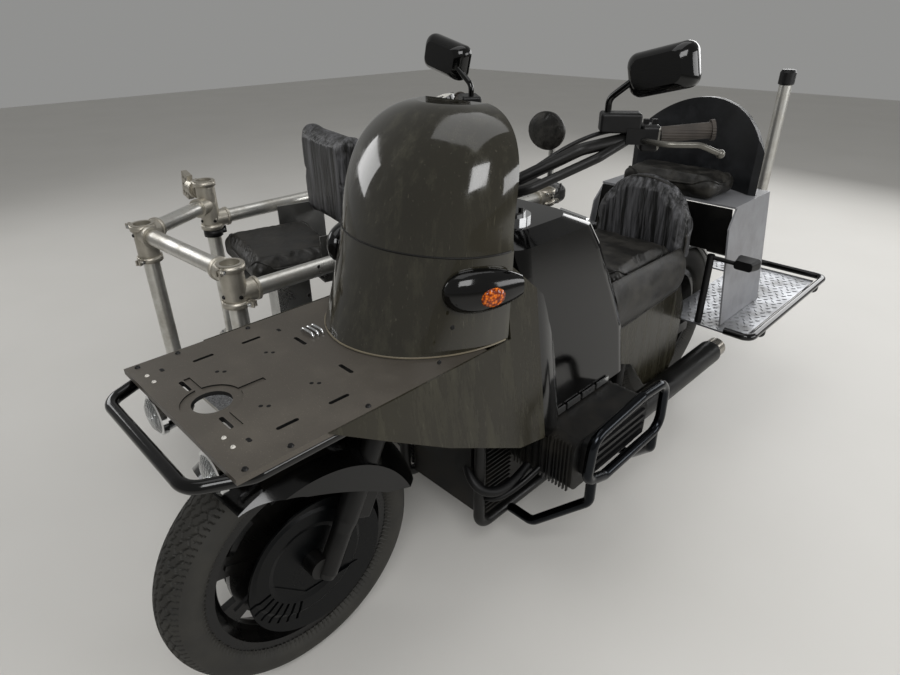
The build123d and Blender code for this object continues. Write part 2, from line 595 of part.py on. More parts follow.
# Side covers, equipment box and rear deck
DECK_REAR_Z = 440.0
DECK_REAR_T = 6.0
DECK_LEFT = 400.0
DECK_RIGHT = -330.0
DECK_FRONT_Y = WHEELBASE - 160.0
DECK_BACK_Y = WHEELBASE + 545.0
POST_FOOT_Z = DECK_REAR_Z + DECK_REAR_T
FRAME_D = 32.0
CRADLE_HALF = 155.0
FRAME_OUT = CRADLE_HALF + FRAME_D / 2 + 0.2
COVER_BACK_Y = DECK_FRONT_Y - 8
cover_outline = [(SEAT_FRONT + 10, 650), (SEAT_BACK - 20, 640), (SEAT_BACK + 50, 560), (COVER_BACK_Y, 500),
                 (COVER_BACK_Y, 300), (COVER_BACK_Y - 52, 215), (SEAT_BACK - 130, 260), (1200, 390), (1090, 440)]
side_cover = side_plate(cover_outline, FRAME_OUT, 8)
side_cover = fillet(side_cover.edges().filter_by(Axis.X), 14)
PARTS["side_covers"] = both_sides(side_cover)
BOX_T = 6.0
BOX_FRONT_Y = WHEELBASE - 120.0
BOX_BACK_Y = WHEELBASE + 210.0
BOX_TOP_HALF = 252.0
BOX_FOOT_HALF = 298.0
BOX_TILT = math.degrees(math.atan((BOX_FOOT_HALF - BOX_TOP_HALF) / (BOX_TOP_Z - POST_FOOT_Z)))
PANEL_H = (BOX_TOP_Z - BOX_T - POST_FOOT_Z) / math.cos(math.radians(BOX_TILT)) + 1
panel_outline = [(BOX_FRONT_Y, 0), (BOX_BACK_Y, 0), (BOX_BACK_Y, PANEL_H), (BOX_FRONT_Y + 50, PANEL_H),
                 (BOX_FRONT_Y, PANEL_H - 62)]
panel = Pos(BOX_FOOT_HALF, 0, POST_FOOT_Z + FIT_GAP) * Rot(0, -BOX_TILT, 0) * side_plate(panel_outline, 0, BOX_T)
box_lid = block(-BOX_TOP_HALF - 6, BOX_TOP_HALF + 6, BOX_FRONT_Y + 40, BOX_BACK_Y, BOX_TOP_Z - BOX_T, BOX_TOP_Z)
PARTS["equipment_box"] = both_sides(panel - box_lid) + box_lid
rear_deck = block(DECK_RIGHT, DECK_LEFT, DECK_FRONT_Y, DECK_BACK_Y, DECK_REAR_Z, POST_FOOT_Z)
GUARD_GAP_REAR = 30.0
DECK_SLOT_BACK = WHEELBASE + REAR_R + GUARD_GAP_REAR + 40
rear_deck -= block(-110, 110, DECK_FRONT_Y - 10, DECK_SLOT_BACK, DECK_REAR_Z - 10, POST_FOOT_Z + 10)
PARTS["rear_deck"] = rear_deck
DECK_RAIL_D = 25.0
RAIL_OUT = 28.0
RAIL_UP_Z = DECK_REAR_Z + 19
BEARER_Z = DECK_REAR_Z - 16.0
BEARER_FRONT_Y = WHEELBASE - 50.0
BEARER_BACK_Y = DECK_BACK_Y - 55.0
rail_left = DECK_LEFT + RAIL_OUT
rail_right = DECK_RIGHT - RAIL_OUT
rail_back = DECK_BACK_Y + RAIL_OUT
deck_rail = tube([
    (DECK_LEFT - 60, DECK_FRONT_Y - 14, RAIL_UP_Z), (rail_left, DECK_FRONT_Y - 14, RAIL_UP_Z),
    (rail_left, rail_back, RAIL_UP_Z), (rail_right, rail_back, RAIL_UP_Z),
    (rail_right, DECK_FRONT_Y + 60, RAIL_UP_Z)], DECK_RAIL_D, 30)
STAY_D = 16.0
for y in (BEARER_FRONT_Y, BEARER_BACK_Y):
    for edge_x, out_x in ((DECK_LEFT, rail_left), (DECK_RIGHT, rail_right)):
        deck_rail += tube([(edge_x, y, BEARER_Z), (out_x, y, BEARER_Z), (out_x, y, RAIL_UP_Z)], STAY_D, 12)
for x in (-130, 130):
    deck_rail += tube([(x, DECK_BACK_Y, BEARER_Z), (x, rail_back, BEARER_Z), (x, rail_back, RAIL_UP_Z)], STAY_D, 12)
PARTS["deck_rail"] = deck_rail
SIGNAL_Y = DECK_FRONT_Y + 18
signal = tube([(232, SIGNAL_Y, POST_FOOT_Z), (232, SIGNAL_Y, 700)], 24)
signal += tube([(232, SIGNAL_Y, 690), (330, SIGNAL_Y, 690)], 14)
signal_head = Pos(345, SIGNAL_Y + 12, 690) * Rot(90, 0, 0) * loft([
    Plane.XY.offset(-26) * RectangleRounded(76, 40, 12), Plane.XY.offset(22) * RectangleRounded(60, 30, 10)])
PARTS["rear_signals"] = both_sides(signal + signal_head)
POST_D = 44.0
capped_post = revolve(Plane.XZ * make_face(Polyline(
    (0, 0), (46, 0), (46, 8), (POST_D / 2, 12), (POST_D / 2, 738), (POST_D / 2 + 6, 742), (POST_D / 2 + 6, 782),
    (POST_D / 2, 792), (0, 792), close=True)), axis=Axis.Z)
PARTS["capped_post"] = Pos(140, DECK_BACK_Y - 75, POST_FOOT_Z) * capped_post

# Engine as one block with its two rows of heads, ribbed on their outer faces
ENGINE_FRONT_Y = 500.0
ENGINE_BACK_Y = 1080.0
HEAD_FRONT_Y = 620.0
HEAD_BACK_Y = 960.0
engine = block(-ENGINE_HALF, ENGINE_HALF, ENGINE_FRONT_Y, ENGINE_BACK_Y, 171.3, ENGINE_TOP_Z, 20)
head_length = HEAD_BACK_Y - HEAD_FRONT_Y
heads = Box(2 * HEAD_X, head_length, HEAD_Z1 - HEAD_Z0)
heads = fillet(heads.edges().filter_by(Axis.X), 28)
engine += Pos(0, (HEAD_FRONT_Y + HEAD_BACK_Y) / 2, (HEAD_Z0 + HEAD_Z1) / 2) * heads
for x in (190, 214, 238, 262, 286):
    rib = fillet(Box(8, head_length + 22, HEAD_Z1 - HEAD_Z0 - 8).edges().filter_by(Axis.X), 30)
    rib = Pos(x, (HEAD_FRONT_Y + HEAD_BACK_Y) / 2, (HEAD_Z0 + HEAD_Z1) / 2) * rib
    engine += rib + mirror(rib, about=Plane.YZ)
PARTS["engine"] = engine
RADIATOR_BACK_Y = ENGINE_FRONT_Y - 1
PARTS["radiators"] = block(-138.8, 138.8, RADIATOR_BACK_Y - 37, RADIATOR_BACK_Y, 330, 620)

# Crash bar: a closed loop round the left head, carried by two legs on the frame
CRASH_D = 28.0
CRASH_X = 398.0
LOOP_UP = [(CRASH_X, 700, 516), (CRASH_X, 628, 508), (CRASH_X, 612, 384), (CRASH_X, 700, 352), (CRASH_X, 830, 356)]
LOOP_BACK = [(CRASH_X, 830, 356), (CRASH_X, 988, 360), (CRASH_X, 980, 520), (CRASH_X, 850, 530), (CRASH_X, 700, 516)]
crash_bar = tube(LOOP_UP, CRASH_D, 40) + tube(LOOP_BACK, CRASH_D, 46)
crash_bar += tube([(FRAME_OUT, 600, 155), (250, 600, 155), (CRASH_X, 640, 300), (CRASH_X, 640, 375)], CRASH_D, 36)
crash_bar += tube([(FRAME_OUT, 1060, 155), (290, 1060, 155), (CRASH_X, 960, 300), (CRASH_X, 956, 362)], CRASH_D, 36)
PARTS["crash_bar"] = crash_bar
cover_block = block(HEAD_X, HEAD_X + 24, HEAD_FRONT_Y + 30, HEAD_BACK_Y - 20, HEAD_Z0 + 44, HEAD_Z1 - 6)
cover_block = fillet(cover_block.edges().filter_by(Axis.X), 16)
for z in (HEAD_Z0 + 62, HEAD_Z0 + 86, HEAD_Z0 + 110, HEAD_Z0 + 134):
    cover_block += block(HEAD_X + 20, HEAD_X + 32, HEAD_FRONT_Y + 44, HEAD_BACK_Y - 40, z - 5, z + 5)
PARTS["crash_bar_cover"] = cover_block

# Frame: steering head, backbone, two cradle loops, deck bearers and plate bearers
CROSS_D = 28.0
REAR_JOINT_Y = WHEELBASE - 270.0
frame = Plane(origin=head_point(LOWER_CLAMP_Z + 22), z_dir=(0, RAKE_SIN, RAKE_COS)) * Cylinder(
    34, STEM_LENGTH - 48, align=(Align.CENTER, Align.CENTER, Align.MIN))
frame -= Plane(origin=head_point(LOWER_CLAMP_Z), z_dir=(0, RAKE_SIN, RAKE_COS)) * Cylinder(
    STEM_R + FIT_GAP, 400, align=(Align.CENTER, Align.CENTER, Align.MIN))
frame += tube(BACKBONE, BACKBONE_D, 60)
for side in (-1, 1):
    frame += tube([(0, 470, 800), (side * CRADLE_HALF, 478, 700), (side * CRADLE_HALF, 480, 155),
                   (side * CRADLE_HALF, 1150, 155), (side * CRADLE_HALF, 1190, 610),
                   (side * 140, REAR_JOINT_Y, 570)], FRAME_D, 40)
frame += tube([(-CRADLE_HALF, 1186, 570), (CRADLE_HALF, 1186, 570)], CROSS_D)
frame += block(-120, 120, 1180, SEAT_BACK - 60, 610, SEAT_Z0)
PARTS["main_frame"] = frame
bearer = tube([(185, -80, 766), (185, 380, 766), (155, 478, 700)], 24, 40) - frame
PARTS["plate_bearers"] = both_sides(bearer)
REAR_GUARD_HALF = 84.0
REAR_GUARD_EDGE = REAR_R + GUARD_GAP_REAR - REAR_GUARD_HALF * 0.6
STAY_Y = BEARER_FRONT_Y
stay_top = REAR_R + math.sqrt(REAR_GUARD_EDGE ** 2 - (WHEELBASE - STAY_Y) ** 2) + 10
stay_x = REAR_GUARD_HALF + 0.2
rear_frame = None
for side in (-1, 1):
    rail = tube([(side * 140, REAR_JOINT_Y, 570), (side * 130, REAR_JOINT_Y + 60, BEARER_Z),
                 (side * 130, DECK_BACK_Y, BEARER_Z)], FRAME_D, 40)
    rail += tube([(side * stay_x, STAY_Y, BEARER_Z), (DECK_LEFT if side > 0 else DECK_RIGHT, STAY_Y, BEARER_Z)], CROSS_D)
    rear_frame = rail if rear_frame is None else rear_frame + rail
rear_frame += tube([(DECK_RIGHT, BEARER_BACK_Y, BEARER_Z), (DECK_LEFT, BEARER_BACK_Y, BEARER_Z)], CROSS_D)
PARTS["rear_frame"] = rear_frame - frame

# Swinging arm with the rear axle, and two silencers
PIVOT_Y = 1166.0
ARM_X = REAR_TYRE_HALF + 15
ARM_H = 40.0
arm = block(ARM_X, ARM_X + 32, PIVOT_Y + 4, WHEELBASE + 40, REAR_R - ARM_H / 2, REAR_R + ARM_H / 2)
arm += mirror(arm, about=Plane.YZ)
arm += block(-ARM_X - 32, ARM_X + 32, PIVOT_Y + 4, PIVOT_Y + 64, REAR_R - ARM_H / 2, REAR_R + ARM_H / 2)
arm += Pos(0, PIVOT_Y, REAR_R) * disc(16, 2 * (CRADLE_HALF - FRAME_D / 2 - 0.2))
PARTS["swingarm"] = arm + Pos(0, WHEELBASE, REAR_R) * disc(AXLE_R - FIT_GAP, 2 * ARM_X + 50)
SILENCER_X = 226.0
SILENCER_Z = 240.0
silencer = revolve(Plane.XZ * make_face(Polyline(
    (0, 0), (24, 0), (45, 34), (45, 640), (38, 656), (38, 700), (30, 700), (30, 660), (0, 660), close=True)), axis=Axis.Z)
pipe = Pos(SILENCER_X, 1100, SILENCER_Z) * Rot(-90, 0, 0) * silencer
pipe += tube([(250, 790, HEAD_Z0), (250, 790, 219), (SILENCER_X, 960, 219), (SILENCER_X, 1120, SILENCER_Z)], 38, 22)
PARTS["exhaust"] = both_sides(pipe)
rear_guard = Pos(0, WHEELBASE, REAR_R) * make_guard(REAR_R, GUARD_GAP_REAR, REAR_GUARD_HALF, 4, 25, 130)
guard_stay = block(stay_x - 1, stay_x + 12, STAY_Y - 12, STAY_Y + 12, BEARER_Z + CROSS_D / 2 + FIT_GAP, stay_top)
PARTS["rear_mudguard"] = rear_guard + guard_stay + mirror(guard_stay, about=Plane.YZ)

# Sidecar chassis with its struts to the motorcycle and its axle
SIDE_FRONT_Y = 150.0
SIDE_REAR_Y = 2000.0
chassis = tube([(INNER_X, SIDE_FRONT_Y, SIDE_TUBE_Z), (INNER_X, SIDE_REAR_Y, SIDE_TUBE_Z)], SIDE_TUBE)
chassis += tube([(OUTER_X, SIDE_FRONT_Y, SIDE_TUBE_Z), (OUTER_X, SIDE_REAR_Y, SIDE_TUBE_Z)], SIDE_TUBE)
for y in (200, 800, SIDECAR_Y, 1950):
    chassis += tube([(OUTER_X, y, SIDE_TUBE_Z), (INNER_X, y, SIDE_TUBE_Z)], CROSS_TUBE)
STRUTS = [
    # sidecar y, sidecar x, motorcycle y, motorcycle z
    (520.0, INNER_X, 560.0, 155.0),
    (1000.0, INNER_X, 940.0, 155.0),
    (420.0, INNER_X + 20, 479.0, 400.0),
    (1230.0, INNER_X + 20, PIVOT_Y + 2, REAR_R + 14),
]
for side_y, side_x, bike_y, bike_z in STRUTS:
    chassis += tube([(side_x, side_y, SIDE_TUBE_Z - 4), (-FRAME_OUT - 25, bike_y, bike_z)], 32)
    chassis += block(-FRAME_OUT - 35, -FRAME_OUT, bike_y - 16, bike_y + 16, bike_z - 16, bike_z + 16)
SIDE_GUARD_HALF = 80.0
SIDE_GUARD_GAP = 30.0
guard_edge_r = SIDECAR_R + SIDE_GUARD_GAP - SIDE_GUARD_HALF * 0.6
guard_stay_drop = guard_edge_r * 0.7071 + 1
guard_stay_y = SIDECAR_Y - guard_stay_drop
guard_stay_z = SIDECAR_R + guard_stay_drop
chassis += tube([(OUTER_X - 12, guard_stay_y, SIDE_TUBE_Z + 8), (OUTER_X - 50, guard_stay_y, guard_stay_z),
                 (SIDECAR_X + SIDE_GUARD_HALF + 0.2, guard_stay_y, guard_stay_z)], 16, 18)
AXLE_LENGTH = 200.0
chassis += Pos((OUTER_X + SIDECAR_X) / 2 - 15, SIDECAR_Y, SIDECAR_R) * disc(AXLE_R - FIT_GAP, AXLE_LENGTH)
PARTS["sidecar_frame"] = chassis
PARTS["sidecar_deck"] = block(OUTER_X - 3, INNER_X + 4, 130, 2020, DECK_Z - DECK_T, DECK_Z, 40)

# Posts on the deck, rails and slip-on fittings
POSTS = [
    # x, y, height of the fitting's mouth
    (INNER_X, 160.0, 878.0),
    (-930.0, 130.0, 878.0),
    (OUTER_X, 415.0, 930.0),
    (INNER_X, 1480.0, 822.0),
    (OUTER_X, 1480.0, 822.0),
]
FITTING_R = 32.0
SOCKET_REACH = 62.0
posts = None
fittings = None


def sleeve(length, radius):
    """A slip-on collar about Z from 0 to its length, with a thick lip at its two ends."""
    lip = 8.0
    outline = [(0, 0), (radius + 3, 0), (radius + 3, lip), (radius, lip + 2), (radius, length - lip - 2),
               (radius + 3, length - lip), (radius + 3, length), (0, length)]
    return revolve(Plane.XZ * make_face(Polyline(*outline, close=True)), axis=Axis.Z)


for x, y, mouth_z in POSTS:
    post = tube([(x, y, DECK_Z), (x, y, mouth_z - MOUTH_DEPTH - 2)], RAIL_D)
    post += Pos(x, y, DECK_Z) * Cylinder(50, 8, align=(Align.CENTER, Align.CENTER, Align.MIN))
    posts = post if posts is None else posts + post
RAIL_LINKS = [
    # first post, second post, height of the rail between them
    (0, 3, RAIL_Z),
    (2, 4, RAIL_Z),
    (0, 1, CROSS_Z),
    (1, 2, CROSS_Z),
]
RAIL_START = RAIL_R + 6.0
sockets = []
rails = None
for first, second, z in RAIL_LINKS:
    start = Vector(POSTS[first][0], POSTS[first][1], z)
    end = Vector(POSTS[second][0], POSTS[second][1], z)
    way = (end - start).normalized()
    sockets.append((first, start, way))
    sockets.append((second, end, way * -1))
    rail = tube([start + way * RAIL_START, end - way * RAIL_START], RAIL_D)
    rails = rail if rails is None else rails + rail
PARTS["sidecar_rails"] = rails
COLLAR_FOOT_Z = RAIL_Z - FITTING_R
SOCKET_R = FITTING_R - 2.4
for index, (x, y, mouth_z) in enumerate(POSTS):
    collar = Pos(x, y, COLLAR_FOOT_Z) * sleeve(mouth_z - COLLAR_FOOT_Z, FITTING_R)
    held = [(root, way) for post_index, root, way in sockets if post_index == index]
    for root, way in held:
        collar += Plane(origin=root, z_dir=way) * sleeve(SOCKET_REACH, SOCKET_R)
    for root, way in held:
        socket_bore = Cylinder(RAIL_R + FIT_GAP, SOCKET_REACH, align=(Align.CENTER, Align.CENTER, Align.MIN))
        collar -= Plane(origin=root + way * (RAIL_R + 3), z_dir=way) * socket_bore
    post_bore = Cylinder(RAIL_R + FIT_GAP, mouth_z - COLLAR_FOOT_Z + 20, align=(Align.CENTER, Align.CENTER, Align.MIN))
    collar -= Pos(x, y, COLLAR_FOOT_Z - 10) * post_bore
    collar -= Pos(x, y, mouth_z) * Cylinder(MOUTH_R, 2 * MOUTH_DEPTH)
    fittings = collar if fittings is None else fittings + collar
PARTS["sidecar_posts"] = posts
PARTS["rail_fittings"] = fittings
# Tilted head with six holes on a barrel beside the outer post
HEAD_AT = (OUTER_X - 128, 408, 892)
head_plate = Box(44, 20, 92)
for row in (-28, 0, 28):
    for column in (-9, 9):
        head_plate -= Pos(column, 0, row) * Rot(90, 0, 0) * Cylinder(5.5, 40)
head_plate = Pos(*HEAD_AT) * Rot(0, 16, 0) * head_plate
barrel = Pos(OUTER_X - FITTING_R - 37.3, 412, 890) * Rot(0, 90, 0) * Cylinder(26, 74)
barrel += Pos(OUTER_X - FITTING_R - 22, 408, 890) * Rot(0, 90, 0) * Cylinder(31, 12)
PARTS["camera_head"] = barrel + head_plate

# Sidecar seats
seat_place = Pos(-850, 545, 0) * Rot(0, 0, -12)
PARTS["sidecar_seat"] = seat_place * Pos(0, 0, 697) * cushion(410, 350, 96, 34)
PARTS["sidecar_seat_back"] = seat_place * Pos(0, 215, 930) * cushion(410, 80, 350, 34)
pedestal = block(-60, 60, -60, 60, DECK_Z, 648) + block(-150, 150, -160, 160, 640, 648.7)
for side in (-1, 1):
    ear = block(205, 211, 60, 240, 641, 800)
    pedestal += ear if side > 0 else mirror(ear, about=Plane.YZ)
pedestal += block(-211, 211, 60, 100, 641, 648.7)
PARTS["seat_pedestal"] = seat_place * pedestal
PARTS["rear_seat"] = Pos(-720, 1640, 720) * cushion(380, 360, 90, 30)
PARTS["rear_seat_pad"] = Pos(-720, 1850, 960) * cushion(230, 70, 200, 28)
rear_base = block(-780, -660, 1580, 1700, DECK_Z, 674.6) + tube([(-720, 1690, 650), (-720, 1900.2, 650)], 26)
rear_base += tube([(-720, 1900.2, 640), (-720, 1900.2, 960)], 30)
PARTS["rear_pedestal"] = rear_base
PARTS["sidecar_mudguard"] = Pos(SIDECAR_X, SIDECAR_Y, SIDECAR_R) * make_guard(
    SIDECAR_R, SIDE_GUARD_GAP, SIDE_GUARD_HALF, 4, 15, 150)

os.makedirs("parts", exist_ok=True)
total = None
for name, shape in PARTS.items():
    moved = Pos(SHIFT_X, SHIFT_Y, 0) * shape
    export_step(moved, "parts/" + name + ".step")
    bounds = moved.bounding_box()
    total = bounds if total is None else total.add(bounds)
print("pieces", len(PARTS))
print("x", round(total.min.X, 1), round(total.max.X, 1))
print("y", round(total.min.Y, 1), round(total.max.Y, 1))
print("z", round(total.min.Z, 1), round(total.max.Z, 1))
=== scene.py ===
"""A three-wheeled motorcycle with a flat sidecar platform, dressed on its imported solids, in metres."""
import math

import bmesh
import bpy
import numpy as np
from mathutils import Matrix, Vector
from mathutils.bvhtree import BVHTree


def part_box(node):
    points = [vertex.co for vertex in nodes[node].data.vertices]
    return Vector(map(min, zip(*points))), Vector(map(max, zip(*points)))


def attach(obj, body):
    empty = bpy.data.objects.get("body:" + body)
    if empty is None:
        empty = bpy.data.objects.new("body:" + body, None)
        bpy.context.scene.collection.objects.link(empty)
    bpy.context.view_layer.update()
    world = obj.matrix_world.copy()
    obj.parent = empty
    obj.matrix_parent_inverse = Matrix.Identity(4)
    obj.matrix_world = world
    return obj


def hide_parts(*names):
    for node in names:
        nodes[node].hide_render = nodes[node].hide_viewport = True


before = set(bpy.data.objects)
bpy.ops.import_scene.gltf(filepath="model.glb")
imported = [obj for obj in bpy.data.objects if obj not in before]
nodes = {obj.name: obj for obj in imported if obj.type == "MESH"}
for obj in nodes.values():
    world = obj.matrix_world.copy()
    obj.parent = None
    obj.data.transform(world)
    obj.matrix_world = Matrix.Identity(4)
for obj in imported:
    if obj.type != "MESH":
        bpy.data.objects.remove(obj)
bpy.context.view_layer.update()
scene = bpy.context.scene

# Camera, floor and light
# A phone held at head height beside the front wheel, looking down over the front plate to the sidecar.
# The studio round the vehicle is a pale painted floor, evenly lit by large soft boxes.
CAMERA_AT = (1.4594, -1.4451, 1.4413)
CAMERA_AZIMUTH = 45.545
CAMERA_PITCH = 28.17
CAMERA_ROLL = -0.491
FOCAL_PX = 611.52
FRAME_PX = (900, 675)
SENSOR_MM = 36.0
FLOOR_HALF = 12.0
WORLD_STRENGTH = 0.36
SOFT_BOXES = [
    # name, place, aims at, width, height, watts
    ("key", (2.6, -2.2, 3.2), (0.1, -0.2, 0.6), 1.6, 1.6, 62.0),
    ("windows_left", (4.2, 1.6, 1.9), (0.2, 0.2, 0.7), 3.2, 1.3, 66.0),
    ("windows_back", (0.6, 4.6, 2.1), (0.0, 0.3, 0.7), 4.6, 1.5, 82.0),
    ("fill_right", (-3.8, -1.6, 2.4), (-0.3, 0.0, 0.6), 2.0, 1.4, 30.0),
    ("top", (0.0, 0.0, 4.2), (0.0, 0.0, 0.5), 2.4, 3.4, 30.0),
]


def linear(colour):
    """An sRGB hex colour as linear RGBA."""
    parts = [int(colour[i:i + 2], 16) / 255 for i in (1, 3, 5)]
    return tuple(c / 12.92 if c < 0.04045 else ((c + 0.055) / 1.055) ** 2.4 for c in parts) + (1.0,)


def set_inputs(tree, node, inputs):
    """Gives a node's inputs numbers, hex colours, or links from a node's first output or a named one."""
    for key, given in inputs.items():
        for value in given if isinstance(given, list) else [given]:
            if isinstance(value, bpy.types.Node):
                value = next(output for output in value.outputs if output.enabled)
            if isinstance(value, bpy.types.NodeSocket):
                tree.links.new(value, node.inputs[key])
            elif isinstance(value, str) and value.startswith("#"):
                node.inputs[key].default_value = linear(value)
            else:
                node.inputs[key].default_value = value


def add_node(tree, kind, inputs=None, **settings):
    """Adds a node, sets its properties, and gives its inputs their values and links."""
    node = tree.nodes.new(kind)
    for key, value in settings.items():
        setattr(node, key, value)
    set_inputs(tree, node, inputs or {})
    return node


def start_material(name, values):
    """A material, its tree, its shader with the given values, and the object's own coordinates."""
    material = bpy.data.materials.new(name)
    material.use_nodes = True
    tree = material.node_tree
    shader = tree.nodes["Principled BSDF"]
    set_inputs(tree, shader, values)
    return material, tree, shader, add_node(tree, "ShaderNodeTexCoord").outputs["Object"]


camera = bpy.data.objects.new("camera", bpy.data.cameras.new("camera"))
scene.collection.objects.link(camera)
camera_turn = (Matrix.Rotation(math.radians(CAMERA_AZIMUTH), 4, "Z")
               @ Matrix.Rotation(math.radians(90 - CAMERA_PITCH), 4, "X")
               @ Matrix.Rotation(math.radians(CAMERA_ROLL), 4, "Z"))
camera.matrix_world = Matrix.Translation(CAMERA_AT) @ camera_turn
camera.data.sensor_width = SENSOR_MM
camera.data.lens = SENSOR_MM * FOCAL_PX / FRAME_PX[0]
camera.data.clip_start = 0.02
scene.camera = camera
scene.view_settings.view_transform = "Standard"

# Concrete rolled with matt paint: even and pale, with faint clouds about 700 mm across where it has worn.
floor_material, tree, shader, place = start_material("painted_concrete", {"Roughness": 0.55})
clouds = add_node(tree, "ShaderNodeTexNoise", {"Vector": place, "Scale": 1000 / 714.3, "Detail": 6.0})
tint = add_node(tree, "ShaderNodeMix", {"Factor": clouds, 6: "#D9D7D3", 7: "#CFCDC8"}, data_type="RGBA")
set_inputs(tree, shader, {"Base Color": tint})
corners = [(x * FLOOR_HALF, y * FLOOR_HALF, 0) for x, y in ((-1, -1), (1, -1), (1, 1), (-1, 1))]
floor_mesh = bpy.data.meshes.new("floor")
floor_mesh.from_pydata(corners, [], [(0, 1, 2, 3)])
floor_mesh.materials.append(floor_material)
floor = bpy.data.objects.new("floor", floor_mesh)
scene.collection.objects.link(floor)

world = bpy.data.worlds.new("studio")
world.use_nodes = True
scene.world = world
set_inputs(world.node_tree, world.node_tree.nodes["Background"], {
    "Color": "#E4E4E2", "Strength": WORLD_STRENGTH})
for name, lamp_place, aim, width, height, watts in SOFT_BOXES:
    light = bpy.data.lights.new(name, "AREA")
    light.shape = "RECTANGLE"
    light.size = width
    light.size_y = height
    light.energy = watts
    lamp = bpy.data.objects.new(name, light)
    lamp.location = lamp_place
    lamp.rotation_euler = (Vector(aim) - Vector(lamp_place)).to_track_quat("-Z", "Y").to_euler()
    scene.collection.objects.link(lamp)

# Tyres
# Road tyres of worn dark rubber on the three wheels, with a zigzag middle groove and slanted side grooves.
# Each is turned about its axle from the tyre's own section, and the grooves are pressed into the tread.
TREAD_DEPTH = 0.0042
TREAD_PITCH = 0.031
GROOVE_HALF = 0.0019
ZIGZAG = 0.0045
GROOVE_LANES = (0.0, 0.29, 0.56)
TYRES = [
    # name, axle in millimetres, outer radius, bead radius, half width, steps round
    ("front", (0, 0, 320), 0.320, 0.240, 0.064, 820),
    ("rear", (0, 1690, 331), 0.331, 0.222, 0.075, 820),
    ("sidecar", (-1270, 1440, 300), 0.300, 0.205, 0.068, 760),
]

# Moulded rubber with carbon black: dull and almost black, browner where road dust sits in 70 mm patches.
tyre_rubber, tree, shader, place = start_material("tyre_rubber", {"Roughness": 0.72})
dust = add_node(tree, "ShaderNodeTexNoise", {"Vector": place, "Scale": 1000 / 71.43, "Detail": 7.0})
tint = add_node(tree, "ShaderNodeMix", {"Factor": dust, 6: "#161615", 7: "#34322C"}, data_type="RGBA")
grain = add_node(tree, "ShaderNodeTexNoise", {"Vector": place, "Scale": 1000 / 1.111, "Detail": 2.0})
grain = add_node(tree, "ShaderNodeBump", {"Height": grain, "Strength": 0.25, "Distance": 0.0004})
set_inputs(tree, shader, {"Base Color": tint, "Normal": grain})


def at_mm(x, y, z):
    """A place laid out in millimetres from the point under the front axle, as metres in the shared frame."""
    return ((x + 448.8) / 1000, (y - 977.75) / 1000, z / 1000)


def add_piece(name, mesh, material, body, smooth_angle=35.0):
    """Puts a finished mesh in the scene on its body, with its material."""
    piece = bpy.data.objects.new(name, mesh)
    scene.collection.objects.link(piece)
    mesh.materials.clear()
    mesh.materials.append(material)
    for polygon in mesh.polygons:
        polygon.use_smooth = True
    mesh.set_sharp_from_angle(angle=math.radians(smooth_angle))
    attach(piece, body)
    return piece


def plain_mesh(name, points, faces):
    """A mesh from points and faces, with its normals turned outwards."""
    mesh = bpy.data.meshes.new(name)
    mesh.from_pydata(points, [], faces)
    work = bmesh.new()
    work.from_mesh(mesh)
    bmesh.ops.recalc_face_normals(work, faces=work.faces)
    work.to_mesh(mesh)
    work.free()
    return mesh


def arc_points(first, middle, last, count):
    """Points along the arc through three points of a plane."""
    (ax, ay), (bx, by), (cx, cy) = first, middle, last
    d = 2 * (ax * (by - cy) + bx * (cy - ay) + cx * (ay - by))
    squares = ax**2 + ay**2, bx**2 + by**2, cx**2 + cy**2
    ux = (squares[0] * (by - cy) + squares[1] * (cy - ay) + squares[2] * (ay - by)) / d
    uy = (squares[0] * (cx - bx) + squares[1] * (ax - cx) + squares[2] * (bx - ax)) / d
    radius = math.hypot(ax - ux, ay - uy)
    start = math.atan2(ay - uy, ax - ux)
    through = (math.atan2(by - uy, bx - ux) - start) % (2 * math.pi)
    sweep = (math.atan2(cy - uy, cx - ux) - start) % (2 * math.pi)
    if through > sweep:
        sweep -= 2 * math.pi
    angles = [start + sweep * i / count for i in range(count + 1)]
    return [(ux + radius * math.cos(a), uy + radius * math.sin(a)) for a in angles]


